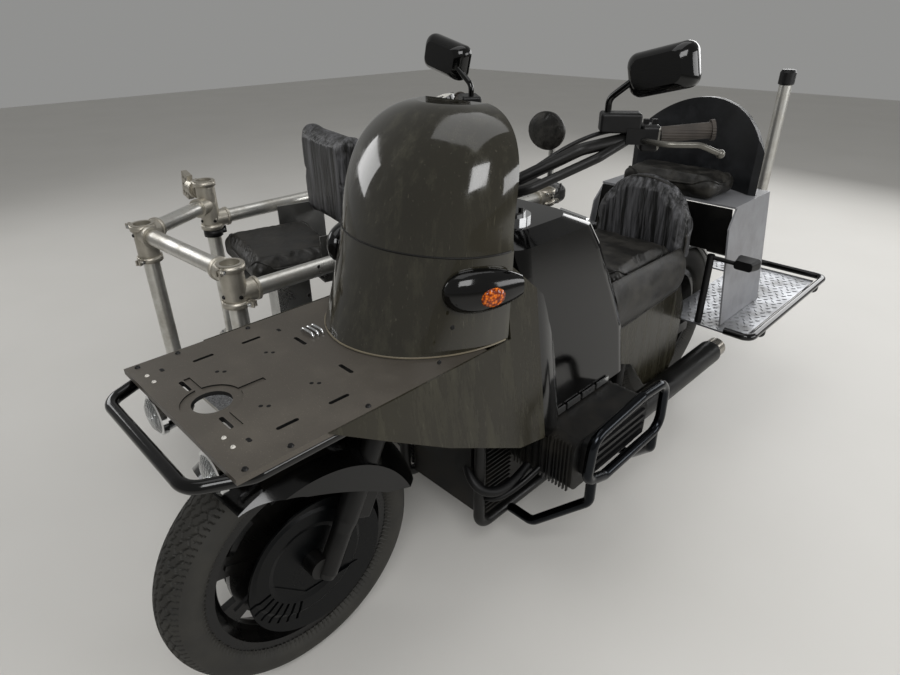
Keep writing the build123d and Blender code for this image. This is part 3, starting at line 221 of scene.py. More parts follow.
def make_tyre(name, centre, outer_r, bead_r, half_width, turns):
    """Sweeps the tyre's section round its axle and presses the tread into it."""
    shoulder_r = outer_r - half_width * 0.36
    wall_r = bead_r + (outer_r - bead_r) * 0.42
    bead, shoulder = half_width * 0.72, half_width * 0.86
    wall = arc_points((-bead, bead_r), (-half_width, wall_r), (-shoulder, shoulder_r), 8)
    crown = arc_points((-shoulder, shoulder_r), (0, outer_r), (shoulder, shoulder_r), 62)
    section = wall[:-1] + crown + [(-x, r) for x, r in reversed(wall)][1:]
    side = np.array([p[0] for p in section])[None, :]
    radius = np.array([p[1] for p in section])[None, :]
    reach = np.abs(side)
    turn = np.linspace(0, 2 * np.pi, turns, endpoint=False)[:, None]
    around = turn * outer_r
    pitch = 2 * np.pi * outer_r / round(2 * np.pi * outer_r / TREAD_PITCH)
    wave = 2 * np.abs(((around / pitch) % 1.0) * 2 - 1) - 1
    cut = np.zeros((turns, len(section)), dtype=bool)
    for lane in GROOVE_LANES:
        for way in (-1, 1):
            from_lane = side - way * lane * half_width
            cut |= np.abs(from_lane - ZIGZAG * wave * (1 if lane else way)) < GROOVE_HALF
    offset = np.where(side > 0, pitch / 2, 0.0)
    notch = (around + reach * 0.35 + offset) % (pitch / 2)
    cut |= (notch < 1.5 * GROOVE_HALF) & (reach > half_width * 0.66) & (reach < half_width * 0.86)
    slant = (around + reach * 0.9 + offset) % pitch
    cut |= (slant < 1.4 * GROOVE_HALF) & (reach > half_width * 0.3) & (reach < half_width * 0.56)
    lift = radius - np.where(cut, TREAD_DEPTH, 0.0)
    x = np.broadcast_to(side, lift.shape) + centre[0]
    points = np.stack([x, lift * np.cos(turn) + centre[1], lift * np.sin(turn) + centre[2]], axis=-1)
    count = len(section)
    ring = np.arange(turns)[:, None] * count + np.arange(count)[None, :]
    after = np.roll(ring, -1, axis=0)
    faces = np.stack([ring[:, :-1], ring[:, 1:], after[:, 1:], after[:, :-1]], axis=-1).reshape(-1, 4)
    closing = np.stack([ring[:, -1], ring[:, 0], after[:, 0], after[:, -1]], axis=-1)
    return plain_mesh(name, points.reshape(-1, 3).tolist(), faces.tolist() + closing.tolist())


for wheel, axle, outer_r, bead_r, half_width, turns in TYRES:
    mesh = make_tyre(wheel + "_tread", at_mm(*axle), outer_r, bead_r, half_width, turns)
    tread = add_piece(wheel + "_tread", mesh, tyre_rubber, wheel + "_wheel_set", 24.0)
    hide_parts(wheel + "_tyre")

# Wheels, fork and front guard
# Cast wheels and a telescopic fork in black enamel, under a deep guard of gloss black plastic.
# The wheels' eight slots and ribs are in the model, and here they get chipped enamel and brake dust.
MIDDLE_X = at_mm(0, 0, 0)[0]
TUBE_FROM, TUBE_TO = 0.668, 0.960
FORK_SPREAD, FORK_TUBE_REACH = 0.098, 0.0212
CLOUD_MM = 111.1


def coated_metal(name, colour, worn, metallic, roughness, scratch_mm, wear=0.35, coat=0.0, gloss=None):
    """Paint or bare metal with hand-sized cloudy dirt, fine scratches and a rougher rubbed film."""
    if gloss is None:
        gloss = 0.3 if metallic == 0 else 0.5
    material, tree, shader, place = start_material(name, {
        "Metallic": metallic, "Coat Weight": coat, "Coat Roughness": 0.05, "Specular IOR Level": gloss})
    clouds = add_node(tree, "ShaderNodeTexNoise", {"Vector": place, "Scale": 1000 / CLOUD_MM, "Detail": 8.0,
                                                   "Roughness": 0.62})
    dirt = add_node(tree, "ShaderNodeMapRange", {"Value": clouds, "From Min": 0.42, "From Max": 0.78,
                                                 "To Max": wear})
    tint = add_node(tree, "ShaderNodeMix", {"Factor": dirt, 6: colour, 7: worn}, data_type="RGBA")
    rough = add_node(tree, "ShaderNodeMapRange", {"Value": clouds, "From Min": 0.3, "From Max": 0.8,
                                                  "To Min": roughness * 0.75,
                                                  "To Max": min(1.0, roughness * 1.5)})
    drawn_out = add_node(tree, "ShaderNodeMapping", {"Vector": place, "Scale": (1.0, 1.0, 9.0)})
    scratches = add_node(tree, "ShaderNodeTexNoise", {"Vector": drawn_out, "Scale": 1000 / scratch_mm,
                                                      "Detail": 4.0})
    relief = add_node(tree, "ShaderNodeBump", {"Height": scratches, "Strength": 0.12, "Distance": 0.0006})
    set_inputs(tree, shader, {"Base Color": tint, "Roughness": rough, "Normal": relief})
    return material


def paint(material, *names):
    """Gives whole nodes of the model one material."""
    for name in names:
        paint_parts(name, [material], lambda centre, normal: 0)


def paint_parts(name, materials, choose):
    """Gives each face of a node the material whose index choose(centre, normal) returns."""
    data = nodes[name].data
    data.materials.clear()
    for material in materials:
        data.materials.append(material)
    for polygon in data.polygons:
        polygon.material_index = choose(polygon.center, polygon.normal)


def fork_finish(centre, normal):
    """Bare tube between the sliders and the clamps, black elsewhere."""
    on_tube = abs(abs(centre.x - MIDDLE_X) - FORK_SPREAD) < FORK_TUBE_REACH
    return 1 if TUBE_FROM < centre.z < TUBE_TO and on_tube else 0


# Stove enamel on cast alloy: a thin deep gloss that brake dust and chips dull to brown in patches.
black_enamel = coated_metal("black_wheel_enamel", "#050505", "#1E1C19", 0.0, 0.26, 12.5, 0.4, 0.15)
# Sprayed two-pack paint on plastic and steel: wet black gloss that shows the soft boxes sharply.
gloss_black = coated_metal("gloss_black_paint", "#030303", "#141312", 0.0, 0.1, 14.29, 0.3, 0.2)
# Powder coat on steel tube: an even satin black with grey dust.
satin_black = coated_metal("satin_black_paint", "#070707", "#22201D", 0.0, 0.36, 11.11, 0.4)
# Moulded ABS with a 2 mm spark-eroded grain: dull, with broad soft highlights.
black_plastic = coated_metal("grained_black_plastic", "#060607", "#171615", 0.0, 0.42, 2.0, 0.3)
# Thin satin enamel on pressed sheet: darker than the plastic, with hardly a highlight.
cover_enamel = coated_metal("satin_cover_enamel", "#040506", "#131313", 0.0, 0.3, 3.333, 0.3, gloss=0.16)
# Ground and hard chromed steel tube: a bright hard mirror with a faint drawn line.
polished_tube = coated_metal("polished_fork_tube", "#C9CACB", "#7C7A74", 1.0, 0.12, 16.67, 0.3)
# Black nickel over chrome: a dark mirror that stays dark where it reflects the floor.
dark_chrome = coated_metal("dark_chrome", "#26282B", "#111111", 1.0, 0.16, 16.67, 0.5)
# Plated and buffed steel: the brightest mirror on the vehicle, hazed by fine wiping marks.
bright_chrome = coated_metal("bright_chrome", "#DCDDDE", "#8C8A84", 1.0, 0.07, 16.67, 0.2)
paint(black_enamel, "front_wheel", "rear_wheel", "sidecar_wheel")
paint(gloss_black, "front_mudguard", "rear_mudguard", "sidecar_mudguard")
paint(cover_enamel, "disc_covers")
paint_parts("fork", [satin_black, polished_tube], fork_finish)

# Handlebar, controls, mirrors and gauge
# A thick bent handlebar of black steel tube with ribbed rubber grips, moulded switch boxes and levers.
# The mirrors are gloss black shells round flat glass, and a small round gauge sits inside the cowl.
LEVER_BLADE_FROM = 0.322
MIRROR_FACE = 0.92
MIRROR_CENTRE, MIRROR_REACH = (0.326, 1.326), (0.078, 0.046)
GAUGE_CENTRE = Vector(at_mm(-205, 700, 1215))
GAUGE_AXIS = Vector((-8, -10, 35)).normalized()
DIAL_REACH, SCALE_RING, SCALE_HALF = 0.035, 0.029, 0.002
CABLES = [
    # name, millimetre points from the controls down in front of the steering head, radius
    ("left_clutch_cable", [(250, 905, 1165), (205, 860, 1152), (150, 770, 1128), (104, 690, 1092),
                           (76, 610, 1066), (62, 545, 1034)], 4.0),
    ("right_throttle_cable", [(-250, 905, 1165), (-202, 852, 1150), (-144, 765, 1124), (-100, 688, 1090),
                              (-72, 608, 1064), (-58, 545, 1034)], 4.0),
    ("left_brake_hose", [(262, 890, 1195), (214, 840, 1194), (158, 765, 1162), (118, 685, 1112),
                         (90, 612, 1078), (80, 548, 1040)], 5.0),
    ("right_brake_hose", [(-262, 890, 1195), (-215, 845, 1194), (-160, 770, 1160), (-120, 688, 1112),
                          (-92, 612, 1078), (-80, 548, 1040)], 5.0),
]

# Soft rubber moulded with ribs: matt, palest where hands have rubbed it, the ribs drawn as 6 mm waves.
grip_rubber, tree, shader, place = start_material("moulded_grip_rubber", {"Roughness": 0.68})
rubbed = add_node(tree, "ShaderNodeTexNoise", {"Vector": place, "Scale": 1000 / 33.33, "Detail": 6.0})
tint = add_node(tree, "ShaderNodeMix", {"Factor": rubbed, 6: "#241F1C", 7: "#4A433C"}, data_type="RGBA")
ribs = add_node(tree, "ShaderNodeTexWave", {"Vector": place, "Scale": 52.0, "Distortion": 0.0},
                wave_type="BANDS", bands_direction="Z", wave_profile="SIN")
relief = add_node(tree, "ShaderNodeBump", {"Height": ribs.outputs["Fac"], "Strength": 0.8,
                                           "Distance": 0.0012})
set_inputs(tree, shader, {"Base Color": tint, "Normal": relief})

# Float glass silvered behind: a sharp mirror with a faint film of dust in 55 mm patches.
mirror_glass, tree, shader, place = start_material("silvered_mirror_glass", {
    "Metallic": 1.0, "Roughness": 0.02})
film = add_node(tree, "ShaderNodeTexNoise", {"Vector": place, "Scale": 1000 / 55.56, "Detail": 8.0})
tint = add_node(tree, "ShaderNodeMix", {"Factor": film, 6: "#D3D6D8", 7: "#B4B7B8"}, data_type="RGBA")
set_inputs(tree, shader, {"Base Color": tint})

# Cast and lacquered alloy: a soft grey metal, dirty where fingers don't reach.
cast_lever = coated_metal("lacquered_cast_lever", "#6E6C66", "#37342F", 0.7, 0.34, 11.11, 0.5)

# White enamel printed with one dark scale ring: smooth, behind no glass.
dial_white, tree, shader, place = start_material("white_dial_enamel", {"Roughness": 0.3})
offset = add_node(tree, "ShaderNodeVectorMath", {0: place, 1: tuple(GAUGE_CENTRE)}, operation="SUBTRACT")
spread = add_node(tree, "ShaderNodeVectorMath", {0: offset}, operation="LENGTH").outputs["Value"]
from_ring = add_node(tree, "ShaderNodeMath", {0: spread, 1: SCALE_RING}, operation="SUBTRACT")
from_ring = add_node(tree, "ShaderNodeMath", {0: from_ring}, operation="ABSOLUTE")
on_ring = add_node(tree, "ShaderNodeMath", {0: from_ring, 1: SCALE_HALF}, operation="LESS_THAN")
tint = add_node(tree, "ShaderNodeMix", {"Factor": on_ring, 6: "#E6E4DC", 7: "#2A2A2A"}, data_type="RGBA")
set_inputs(tree, shader, {"Base Color": tint})


def lever_finish(centre, normal):
    """Cast alloy on the blades, black on the perches."""
    return 1 if abs(centre.x - MIDDLE_X) > LEVER_BLADE_FROM else 0


def mirror_finish(centre, normal):
    """Glass on the broad face that looks back to the rider."""
    across = abs(abs(centre.x - MIDDLE_X) - MIRROR_CENTRE[0]) < MIRROR_REACH[0]
    up = abs(centre.z - MIRROR_CENTRE[1]) < MIRROR_REACH[1]
    return 1 if normal.y > MIRROR_FACE and across and up else 0


def gauge_finish(centre, normal):
    """White dial inside a chrome rim on a black can."""
    reach = (centre - GAUGE_CENTRE).cross(GAUGE_AXIS).length
    if normal.dot(GAUGE_AXIS) > 0.9:
        return 1 if reach < DIAL_REACH else 2
    return 0


def tube_mesh(name, points, radius, closed=False, smooth=True, sides=5):
    """A round tube along points given in metres, as a mesh with closed ends."""
    curve = bpy.data.curves.new(name, "CURVE")
    curve.dimensions = "3D"
    curve.bevel_depth = radius
    curve.bevel_resolution = sides
    curve.use_fill_caps = True
    spline = curve.splines.new("NURBS" if smooth else "POLY")
    spline.points.add(len(points) - 1)
    for spline_point, point in zip(spline.points, points):
        spline_point.co = (*point, 1.0)
    spline.use_cyclic_u = closed
    if smooth:
        spline.order_u = 3
        spline.use_endpoint_u = not closed
        spline.resolution_u = 8
    holder = bpy.data.objects.new(name, curve)
    mesh = bpy.data.meshes.new_from_object(holder)
    mesh.name = name
    bpy.data.objects.remove(holder)
    bpy.data.curves.remove(curve)
    return mesh


paint(satin_black, "handlebar")
paint(grip_rubber, "grips")
paint_parts("levers", [black_plastic, cast_lever], lever_finish)
paint_parts("mirrors", [gloss_black, mirror_glass], mirror_finish)
paint_parts("gauge", [gloss_black, dial_white, bright_chrome], gauge_finish)
for name, route, radius in CABLES:
    mesh = tube_mesh(name, [at_mm(*p) for p in route], radius / 1000)
    add_piece(name, mesh, black_plastic, "steering")

# Front plate and its fittings
# A thick anodised alloy plate over the front wheel, milled with long slots and a round camera mount.
# Button screws, rivets, drilled holes and a small barred hasp are on its upper face.
UP = (0, 0, 1)
PLATE_TOP = 790.0
SLOTS_ACROSS, SLOTS_FROM, SLOTS_TO = 0.237, at_mm(0, -184, 0)[1], at_mm(0, 396, 0)[1]
SCREWS = [((x, y, PLATE_TOP), UP) for x in (-227, 227) for y in (-165, -80, 86)]
RIVETS = [((x, y, PLATE_TOP), UP) for x, y in ((-179, -164), (-146, -163), (125, -150), (160, -151))]
HOLES = [((x + way * 5.3, y + way * 5.3, PLATE_TOP), UP) for x in (-88, 88) for y in (-50, 62)
         for way in (-1, 1)]
HOLES += [((x + way * 3, y, PLATE_TOP), UP) for x, y in ((-181, -133), (-167, 132), (161, -122))
          for way in (-1, 1)]
HASP_AT, HASP_LONG, HASP_LIFT, HASP_BARS = (-100, 180, 791), 46, 8, (-13, 0, 13)

# Rolled alloy sheet, etched and anodised bronze: a satin brown metal, paler where boots and gear rubbed it
# in 140 mm patches, with 2.4 mm flecks.
bronze_plate, tree, shader, place = start_material("bronze_anodised_plate", {"Metallic": 0.35})
clouds = add_node(tree, "ShaderNodeTexNoise", {"Vector": place, "Scale": 1000 / 142.9, "Detail": 9.0,
                                               "Roughness": 0.65})
rubbed = add_node(tree, "ShaderNodeMapRange", {"Value": clouds, "From Min": 0.5, "From Max": 0.75,
                                               "To Max": 0.55})
fleck = add_node(tree, "ShaderNodeTexNoise", {"Vector": place, "Scale": 1000 / 2.381, "Detail": 2.0})
flecks = add_node(tree, "ShaderNodeMapRange", {"Value": fleck, "From Min": 0.66, "From Max": 0.72,
                                               "To Max": 0.5})
base = add_node(tree, "ShaderNodeMix", {"Factor": rubbed, 6: "#544F48", 7: "#676158"}, data_type="RGBA")
tint = add_node(tree, "ShaderNodeMix", {"Factor": flecks, 6: base, 7: "#8B8378"}, data_type="RGBA")
film = add_node(tree, "ShaderNodeMapRange", {"Value": clouds, "From Min": 0.3, "From Max": 0.8,
                                             "To Min": 0.36, "To Max": 0.6})
relief = add_node(tree, "ShaderNodeBump", {"Height": fleck, "Strength": 0.2, "Distance": 0.0004})
set_inputs(tree, shader, {"Base Color": tint, "Roughness": film, "Normal": relief})
# Painted shade: the unlit depth of a drilled hole, a milled slot or a hexagon socket, as a greasy, matt
# near-black.
hole_shade_black = coated_metal("painted_hole_shade", "#050505", "#151413", 0.0, 0.7, 16.67)
# Cold rolled steel, zinc plated: a greyish mirror with dull patches.
bare_steel = coated_metal("zinc_plated_steel", "#B9BABA", "#6B675F", 1.0, 0.3, 16.67)
# Alloy rivets under brushed white paint.
white_rivet = coated_metal("painted_rivet", "#CFCCC4", "#7D776C", 0.0, 0.45, 16.67)
# Steel screws blackened in oil: a dull dark metal.
black_screw = coated_metal("blackened_screw", "#1A1A1B", "#3A3835", 0.6, 0.35, 16.67)


def plate_finish(centre, normal):
    """Painted shade, near black, on the walls inside the milled slots; bronze on the faces and the outer
    edge.
    """
    inside = abs(centre.x - MIDDLE_X) < SLOTS_ACROSS and SLOTS_FROM < centre.y < SLOTS_TO
    return 1 if abs(normal.z) < 0.5 and inside else 0


def repeat_tree(name, sizes, make):
    """A tree that sets what make(tree, given) returns at each point, turned as the point says."""
    tree = bpy.data.node_groups.new(name, "GeometryNodeTree")
    tree.interface.new_socket("Geometry", in_out="INPUT", socket_type="NodeSocketGeometry")
    for label in sizes:
        tree.interface.new_socket(label, in_out="INPUT", socket_type="NodeSocketFloat")
    for label in ("Material", "Second Material"):
        tree.interface.new_socket(label, in_out="INPUT", socket_type="NodeSocketMaterial")
    tree.interface.new_socket("Geometry", in_out="OUTPUT", socket_type="NodeSocketGeometry")
    given = add_node(tree, "NodeGroupInput")
    first, second = make(tree, given.outputs)
    marked = add_node(tree, "GeometryNodeStoreNamedAttribute", {
        "Geometry": second, "Name": "second", "Value": True}, data_type="BOOLEAN", domain="FACE")
    shape = add_node(tree, "GeometryNodeJoinGeometry", {"Geometry": [first, marked]})
    turned = add_node(tree, "GeometryNodeInputNamedAttribute", {"Name": "turned"}, data_type="FLOAT_VECTOR")
    placed = add_node(tree, "GeometryNodeInstanceOnPoints", {
        "Points": add_node(tree, "GeometryNodeMeshToPoints", {"Mesh": given.outputs["Geometry"]}),
        "Instance": shape, "Rotation": add_node(tree, "FunctionNodeEulerToRotation", {"Euler": turned})})
    real = add_node(tree, "GeometryNodeRealizeInstances", {"Geometry": placed})
    finish = add_node(tree, "GeometryNodeSetMaterial", {"Geometry": real,
                                                        "Material": given.outputs["Material"]})
    chosen = add_node(tree, "GeometryNodeInputNamedAttribute", {"Name": "second"}, data_type="BOOLEAN")
    finish = add_node(tree, "GeometryNodeSetMaterial", {"Geometry": finish, "Selection": chosen,
                                                        "Material": given.outputs["Second Material"]})
    add_node(tree, "NodeGroupOutput", {"Geometry": finish})
    return tree


def repeat_on(name, tree, places, turns, values, body):
    """Runs a tree on points in metres with its inputs set by name, and adds the plain mesh that results."""
    mesh = bpy.data.meshes.new(name + "_points")
    mesh.from_pydata(places, [], [])
    turned = mesh.attributes.new("turned", "FLOAT_VECTOR", "POINT")
    for index, turn in enumerate(turns):
        turned.data[index].vector = turn
    holder = bpy.data.objects.new(name, mesh)
    scene.collection.objects.link(holder)
    modifier = holder.modifiers.new(name, "NODES")
    modifier.node_group = tree
    for item in tree.interface.items_tree:
        if item.in_out == "INPUT" and item.name in values:
            modifier[item.identifier] = values[item.name]
    holder.update_tag()
    made = bpy.data.meshes.new_from_object(holder.evaluated_get(bpy.context.evaluated_depsgraph_get()))
    made.name = name
    bpy.data.objects.remove(holder)
    if "second" in made.attributes:
        made.attributes.remove(made.attributes["second"])
    piece = bpy.data.objects.new(name, made)
    scene.collection.objects.link(piece)
    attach(piece, body)


def fastener(tree, given):
    """A low round head, and the hexagon socket sunk in it."""
    top = add_node(tree, "ShaderNodeMath", {0: given["Head Radius"], 1: 0.72}, operation="MULTIPLY")
    head = add_node(tree, "GeometryNodeMeshCone", {
        "Vertices": 20, "Radius Bottom": given["Head Radius"], "Radius Top": top,
        "Depth": given["Head Height"]})
    depth = add_node(tree, "ShaderNodeMath", {0: given["Head Height"], 1: 0.0002}, operation="ADD")
    socket = add_node(tree, "GeometryNodeMeshCone", {
        "Vertices": 6, "Radius Bottom": given["Socket Radius"], "Radius Top": given["Socket Radius"],
        "Depth": depth})
    return head, socket


FASTENERS = repeat_tree("round_fasteners", ("Head Radius", "Head Height", "Socket Radius"), fastener)


def add_fasteners(name, places, head_r, head_h, socket_r, material):
    """Seats round heads at millimetre places, each facing its own way."""
    turns = [Vector(UP).rotation_difference(Vector(facing)).to_euler() for _, facing in places]
    # Each socket is a hexagon of painted shade that passes through the head, not a hollow.
    repeat_on(name, FASTENERS, [at_mm(*at) for at, _ in places], turns, {
        "Head Radius": head_r / 1000, "Head Height": head_h / 1000, "Socket Radius": socket_r / 1000,
        "Material": material, "Second Material": hole_shade_black}, "chassis")


paint_parts("front_plate", [bronze_plate, hole_shade_black], plate_finish)
add_fasteners("plate_screws", SCREWS, 6.0, 3.2, 2.6, black_screw)
add_fasteners("plate_rivets", RIVETS, 4.6, 2.2, 1.0, white_rivet)
# The drilled holes are flat discs of painted shade laid on the plate, not cut into it.
add_fasteners("plate_holes", HOLES, 4.4, 0.6, 3.0, hole_shade_black)
for index, offset_y in enumerate(HASP_BARS):
    x, y, z = HASP_AT[0], HASP_AT[1] + offset_y, HASP_AT[2]
    bent = [(-HASP_LONG / 2, 0), (-HASP_LONG / 2, HASP_LIFT), (0, HASP_LIFT + 0.5),
            (HASP_LONG / 2, HASP_LIFT),
            (HASP_LONG / 2, 0)]
    mesh = tube_mesh("plate_hasp_%d" % index, [at_mm(x + dx, y, z + dz) for dx, dz in bent], 0.0036)
    add_piece("plate_hasp_%d" % index, mesh, bright_chrome, "chassis")

# Front bumper, lamps and cowl
# A bumper loop of gloss black tube with two small driving lamps under it, in chrome bowls with clear lenses.
# The cowl and leg shields are smoked brown gloss plastic, with rolled black edges and black signal pods.
LAMP_SIDE, LAMP_HEIGHT, LENS_REACH, LENS_FRONT_OF = 0.124, 0.730, 0.0385, -1.150
ROLLED_EDGE_FROM = at_mm(0, 575, 0)[1]
LENS_LONG, LENS_HIGH, LENS_DOME, LENS_SUNK = 0.027, 0.0215, 0.009, 0.002
LENS_PIXEL = (494.0, 298.0)
SEAM_FRONT_OF = at_mm(0, 462, 0)[1]
SCREEN_JOINT_Z, COWL_FOOT_Z, SEAM_RADIUS = 1.0012, 0.7935, 0.0022
COWL_RIVETS = [((side * 236, y, z), (side, -0.3, 0.12)) for side in (-1, 1)
               for y, z in ((262, 815), (300, 880))]

# Pressed glass with upright flutes, drawn as 7 mm waves: clear, with bright broken highlights.
clear_lens, tree, shader, place = start_material("ribbed_clear_lens", {
    "Roughness": 0.04, "IOR": 1.5, "Transmission Weight": 0.85})
film = add_node(tree, "ShaderNodeTexNoise", {"Vector": place, "Scale": 1000 / 33.33, "Detail": 5.0})
tint = add_node(tree, "ShaderNodeMix", {"Factor": film, 6: "#EEF0F0", 7: "#D8DAD7"}, data_type="RGBA")
flutes = add_node(tree, "ShaderNodeTexWave", {"Vector": place, "Scale": 45.0}, bands_direction="X")
relief = add_node(tree, "ShaderNodeBump", {"Height": flutes.outputs["Fac"], "Strength": 0.5,
                                           "Distance": 0.001})
set_inputs(tree, shader, {"Base Color": tint, "Normal": relief})

# Moulded acrylic with 7 mm prisms behind a smooth face: orange, with painted shade that darkens it to brown
# between the prisms.
amber_lens, tree, shader, place = start_material("amber_lens_plastic", {"Roughness": 0.12, "IOR": 1.49})
prisms = add_node(tree, "ShaderNodeTexVoronoi", {"Vector": place, "Scale": 1000 / 6.667}, feature="F1")
depth = add_node(tree, "ShaderNodeMapRange", {"Value": prisms, "From Min": 0.15, "From Max": 0.6})
tint = add_node(tree, "ShaderNodeMix", {"Factor": depth, 6: "#F07A10", 7: "#6A2003"}, data_type="RGBA")
relief = add_node(tree, "ShaderNodeBump", {"Height": prisms, "Strength": 0.7, "Distance": 0.002})
set_inputs(tree, shader, {"Base Color": tint, "Normal": relief})


def smoked_plastic(name, coat, gloss, film_from, film_to):
    """Acrylic tinted brown and blown to shape, with wipe marks and long hair scratches that run down it."""
    material, tree, shader, place = start_material(name, {
        "IOR": 1.5, "Coat Weight": coat, "Coat Roughness": 0.03, "Specular IOR Level": gloss})
    clouds = add_node(tree, "ShaderNodeTexNoise", {"Vector": place, "Scale": 1000 / 312.5, "Detail": 6.0})
    brown = add_node(tree, "ShaderNodeMix", {"Factor": clouds, 6: "#191710", 7: "#302D23"}, data_type="RGBA")
    wipes = add_node(tree, "ShaderNodeTexNoise", {
        "Vector": add_node(tree, "ShaderNodeMapping", {"Vector": place, "Scale": (1.0, 1.0, 0.12)}),
        "Scale": 1000 / 38.46, "Detail": 9.0, "Roughness": 0.72})
    haze = add_node(tree, "ShaderNodeMapRange", {"Value": wipes, "From Min": 0.5, "From Max": 0.8,
                                                 "To Max": 0.55})
    hazed = add_node(tree, "ShaderNodeMix", {"Factor": haze, 6: brown, 7: "#4C4A3C"}, data_type="RGBA")
    hairs = add_node(tree, "ShaderNodeTexNoise", {
        "Vector": add_node(tree, "ShaderNodeMapping", {"Vector": place, "Rotation": (0.3, 0.1, 0.0),
                                                       "Scale": (1.0, 1.0, 0.035)}),
        "Scale": 1000 / 4.762, "Detail": 3.0})
    cut = add_node(tree, "ShaderNodeMapRange", {"Value": hairs, "From Min": 0.66, "From Max": 0.72,
                                                "To Max": 0.22})
    tint = add_node(tree, "ShaderNodeMix", {"Factor": cut, 6: hazed, 7: "#6C695B"}, data_type="RGBA")
    film = add_node(tree, "ShaderNodeMapRange", {"Value": wipes, "From Min": 0.4, "From Max": 0.8,
                                                 "To Min": film_from, "To Max": film_to})
    set_inputs(tree, shader, {"Base Color": tint, "Roughness": film})
    return material


# Polished inside and out: the cowl shows the soft boxes as sharp pale shapes over brown depth.
smoked_shell = smoked_plastic("smoked_gloss_plastic", 0.35, 0.5, 0.06, 0.3)
# The same sheet where boots and grit have dulled it: satin, streaked, and darker by its weaker gloss.
smoked_panel = smoked_plastic("smoked_satin_plastic", 0.0, 0.28, 0.2, 0.42)
# The shadow in the joint between the screen and the cowl, filled with dust.
shadow_line = coated_metal("dark_joint_line", "#0A0908", "#1E1C18", 0.0, 0.5, 16.67)
# The cut edge of the plastic sheet, which light runs out of: a painted highlight, a thin pale line.
edge_highlight_bead = coated_metal("painted_edge_highlight", "#6A6253", "#A0987F", 0.0, 0.3, 16.67)


def lamp_finish(centre, normal):
    """Glass on the dome, chrome on the bowl and rim."""
    reach = math.hypot(abs(centre.x - MIDDLE_X) - LAMP_SIDE, centre.z - LAMP_HEIGHT)
    return 1 if normal.y < -0.35 and reach < LENS_REACH and centre.y < LENS_FRONT_OF else 0


def shield_finish(centre, normal):
    """Gloss black on the rolled rear edge, smoked plastic elsewhere."""
    return 1 if centre.y > ROLLED_EDGE_FROM else 0


def search_tree(mesh):
    """A tree that finds where a ray meets a mesh."""
    return BVHTree.FromPolygons([v.co for v in mesh.vertices], [tuple(p.vertices) for p in mesh.polygons])


def add_pod_lens(name, side):
    """A shallow oval dome of moulded amber plastic let into one pod, where the camera looks at it."""
    out = Vector((lens_out.x * side, lens_out.y, lens_out.z))
    middle = Vector((MIDDLE_X + (lens_at.x - MIDDLE_X) * side, lens_at.y, lens_at.z))
    up = (Vector(UP) - out * out.z).normalized()
    along = up.cross(out).normalized()
    rows, columns = 8, 40
    points = []
    for row in range(rows):
        level = row / rows * math.pi / 2
        for column in range(columns):
            angle = 2 * math.pi * column / columns
            points.append(tuple(middle + out * (LENS_DOME * math.sin(level) - LENS_SUNK)
                                + along * (LENS_LONG * math.cos(level) * math.cos(angle))
                                + up * (LENS_HIGH * math.cos(level) * math.sin(angle))))
    points.append(tuple(middle + out * (LENS_DOME - LENS_SUNK)))
    points.append(tuple(middle - out * 3 * LENS_SUNK))
    faces = []
    for column in range(columns):
        after = (column + 1) % columns
        for row in range(0, (rows - 1) * columns, columns):
            faces.append((row + column, row + after, row + columns + after, row + columns + column))
        faces.append(((rows - 1) * columns + column, (rows - 1) * columns + after, rows * columns))
        faces.append((after, column, rows * columns + 1))
    add_piece(name, plain_mesh(name, points, faces), amber_lens, "chassis")


def add_seam(name, node, height, material):
    """Lays a thin bead round the front of a node's outer skin where a level plane cuts it."""
    work = bmesh.new()
    work.from_mesh(nodes[node].data)
    bmesh.ops.remove_doubles(work, verts=work.verts, dist=1e-5)
    cut = bmesh.ops.bisect_plane(work, geom=work.verts[:] + work.edges[:] + work.faces[:],
                                 plane_co=(0, 0, height), plane_no=UP, clear_inner=True, clear_outer=True)
    joined = {}
    for edge in cut["geom_cut"]:
        if isinstance(edge, bmesh.types.BMEdge):
            joined.setdefault(edge.verts[0], []).append(edge.verts[1])
            joined.setdefault(edge.verts[1], []).append(edge.verts[0])
    chains, seen = [], set()
    for start in sorted(joined, key=lambda v: len(joined[v])):
        if start in seen:
            continue
        chain = [start]
        seen.add(start)
        ahead = [v for v in joined[start] if v not in seen]
        while ahead:
            chain.append(ahead[0])
            seen.add(ahead[0])
            ahead = [v for v in joined[ahead[0]] if v not in seen]
        chains.append([v.co.copy() for v in chain])
    work.free()
    longest = max(chains, key=lambda c: sum((a - b).length for a, b in zip(c, c[1:])))
    bead = [tuple(p) for p in longest if p.y < SEAM_FRONT_OF]
    bead = tube_mesh(name, bead, SEAM_RADIUS, smooth=False, sides=2)
    add_piece(name, bead, material, "chassis")


paint(gloss_black, "front_bumper", "signal_pods")
paint_parts("driving_lamps", [bright_chrome, clear_lens], lamp_finish)
paint(smoked_shell, "cowl_lower", "cowl_upper")
paint_parts("leg_shields", [smoked_panel, gloss_black], shield_finish)
ahead = Vector(((LENS_PIXEL[0] - FRAME_PX[0] / 2) / FOCAL_PX,
                (FRAME_PX[1] / 2 - LENS_PIXEL[1]) / FOCAL_PX, -1.0))
lens_toward = (camera_turn.to_3x3() @ ahead).normalized()
lens_at, lens_out, _, _ = search_tree(nodes["signal_pods"].data).ray_cast(Vector(CAMERA_AT), lens_toward)
if lens_out.dot(lens_toward) > 0:
    lens_out = -lens_out
add_pod_lens("left_pod_lens", 1)
add_pod_lens("right_pod_lens", -1)
add_seam("screen_joint", "cowl_upper", SCREEN_JOINT_Z, shadow_line)
add_seam("cowl_foot_bead", "cowl_lower", COWL_FOOT_Z, edge_highlight_bead)
add_fasteners("cowl_rivets", COWL_RIVETS, 5.0, 2.0, 1.6, black_screw)

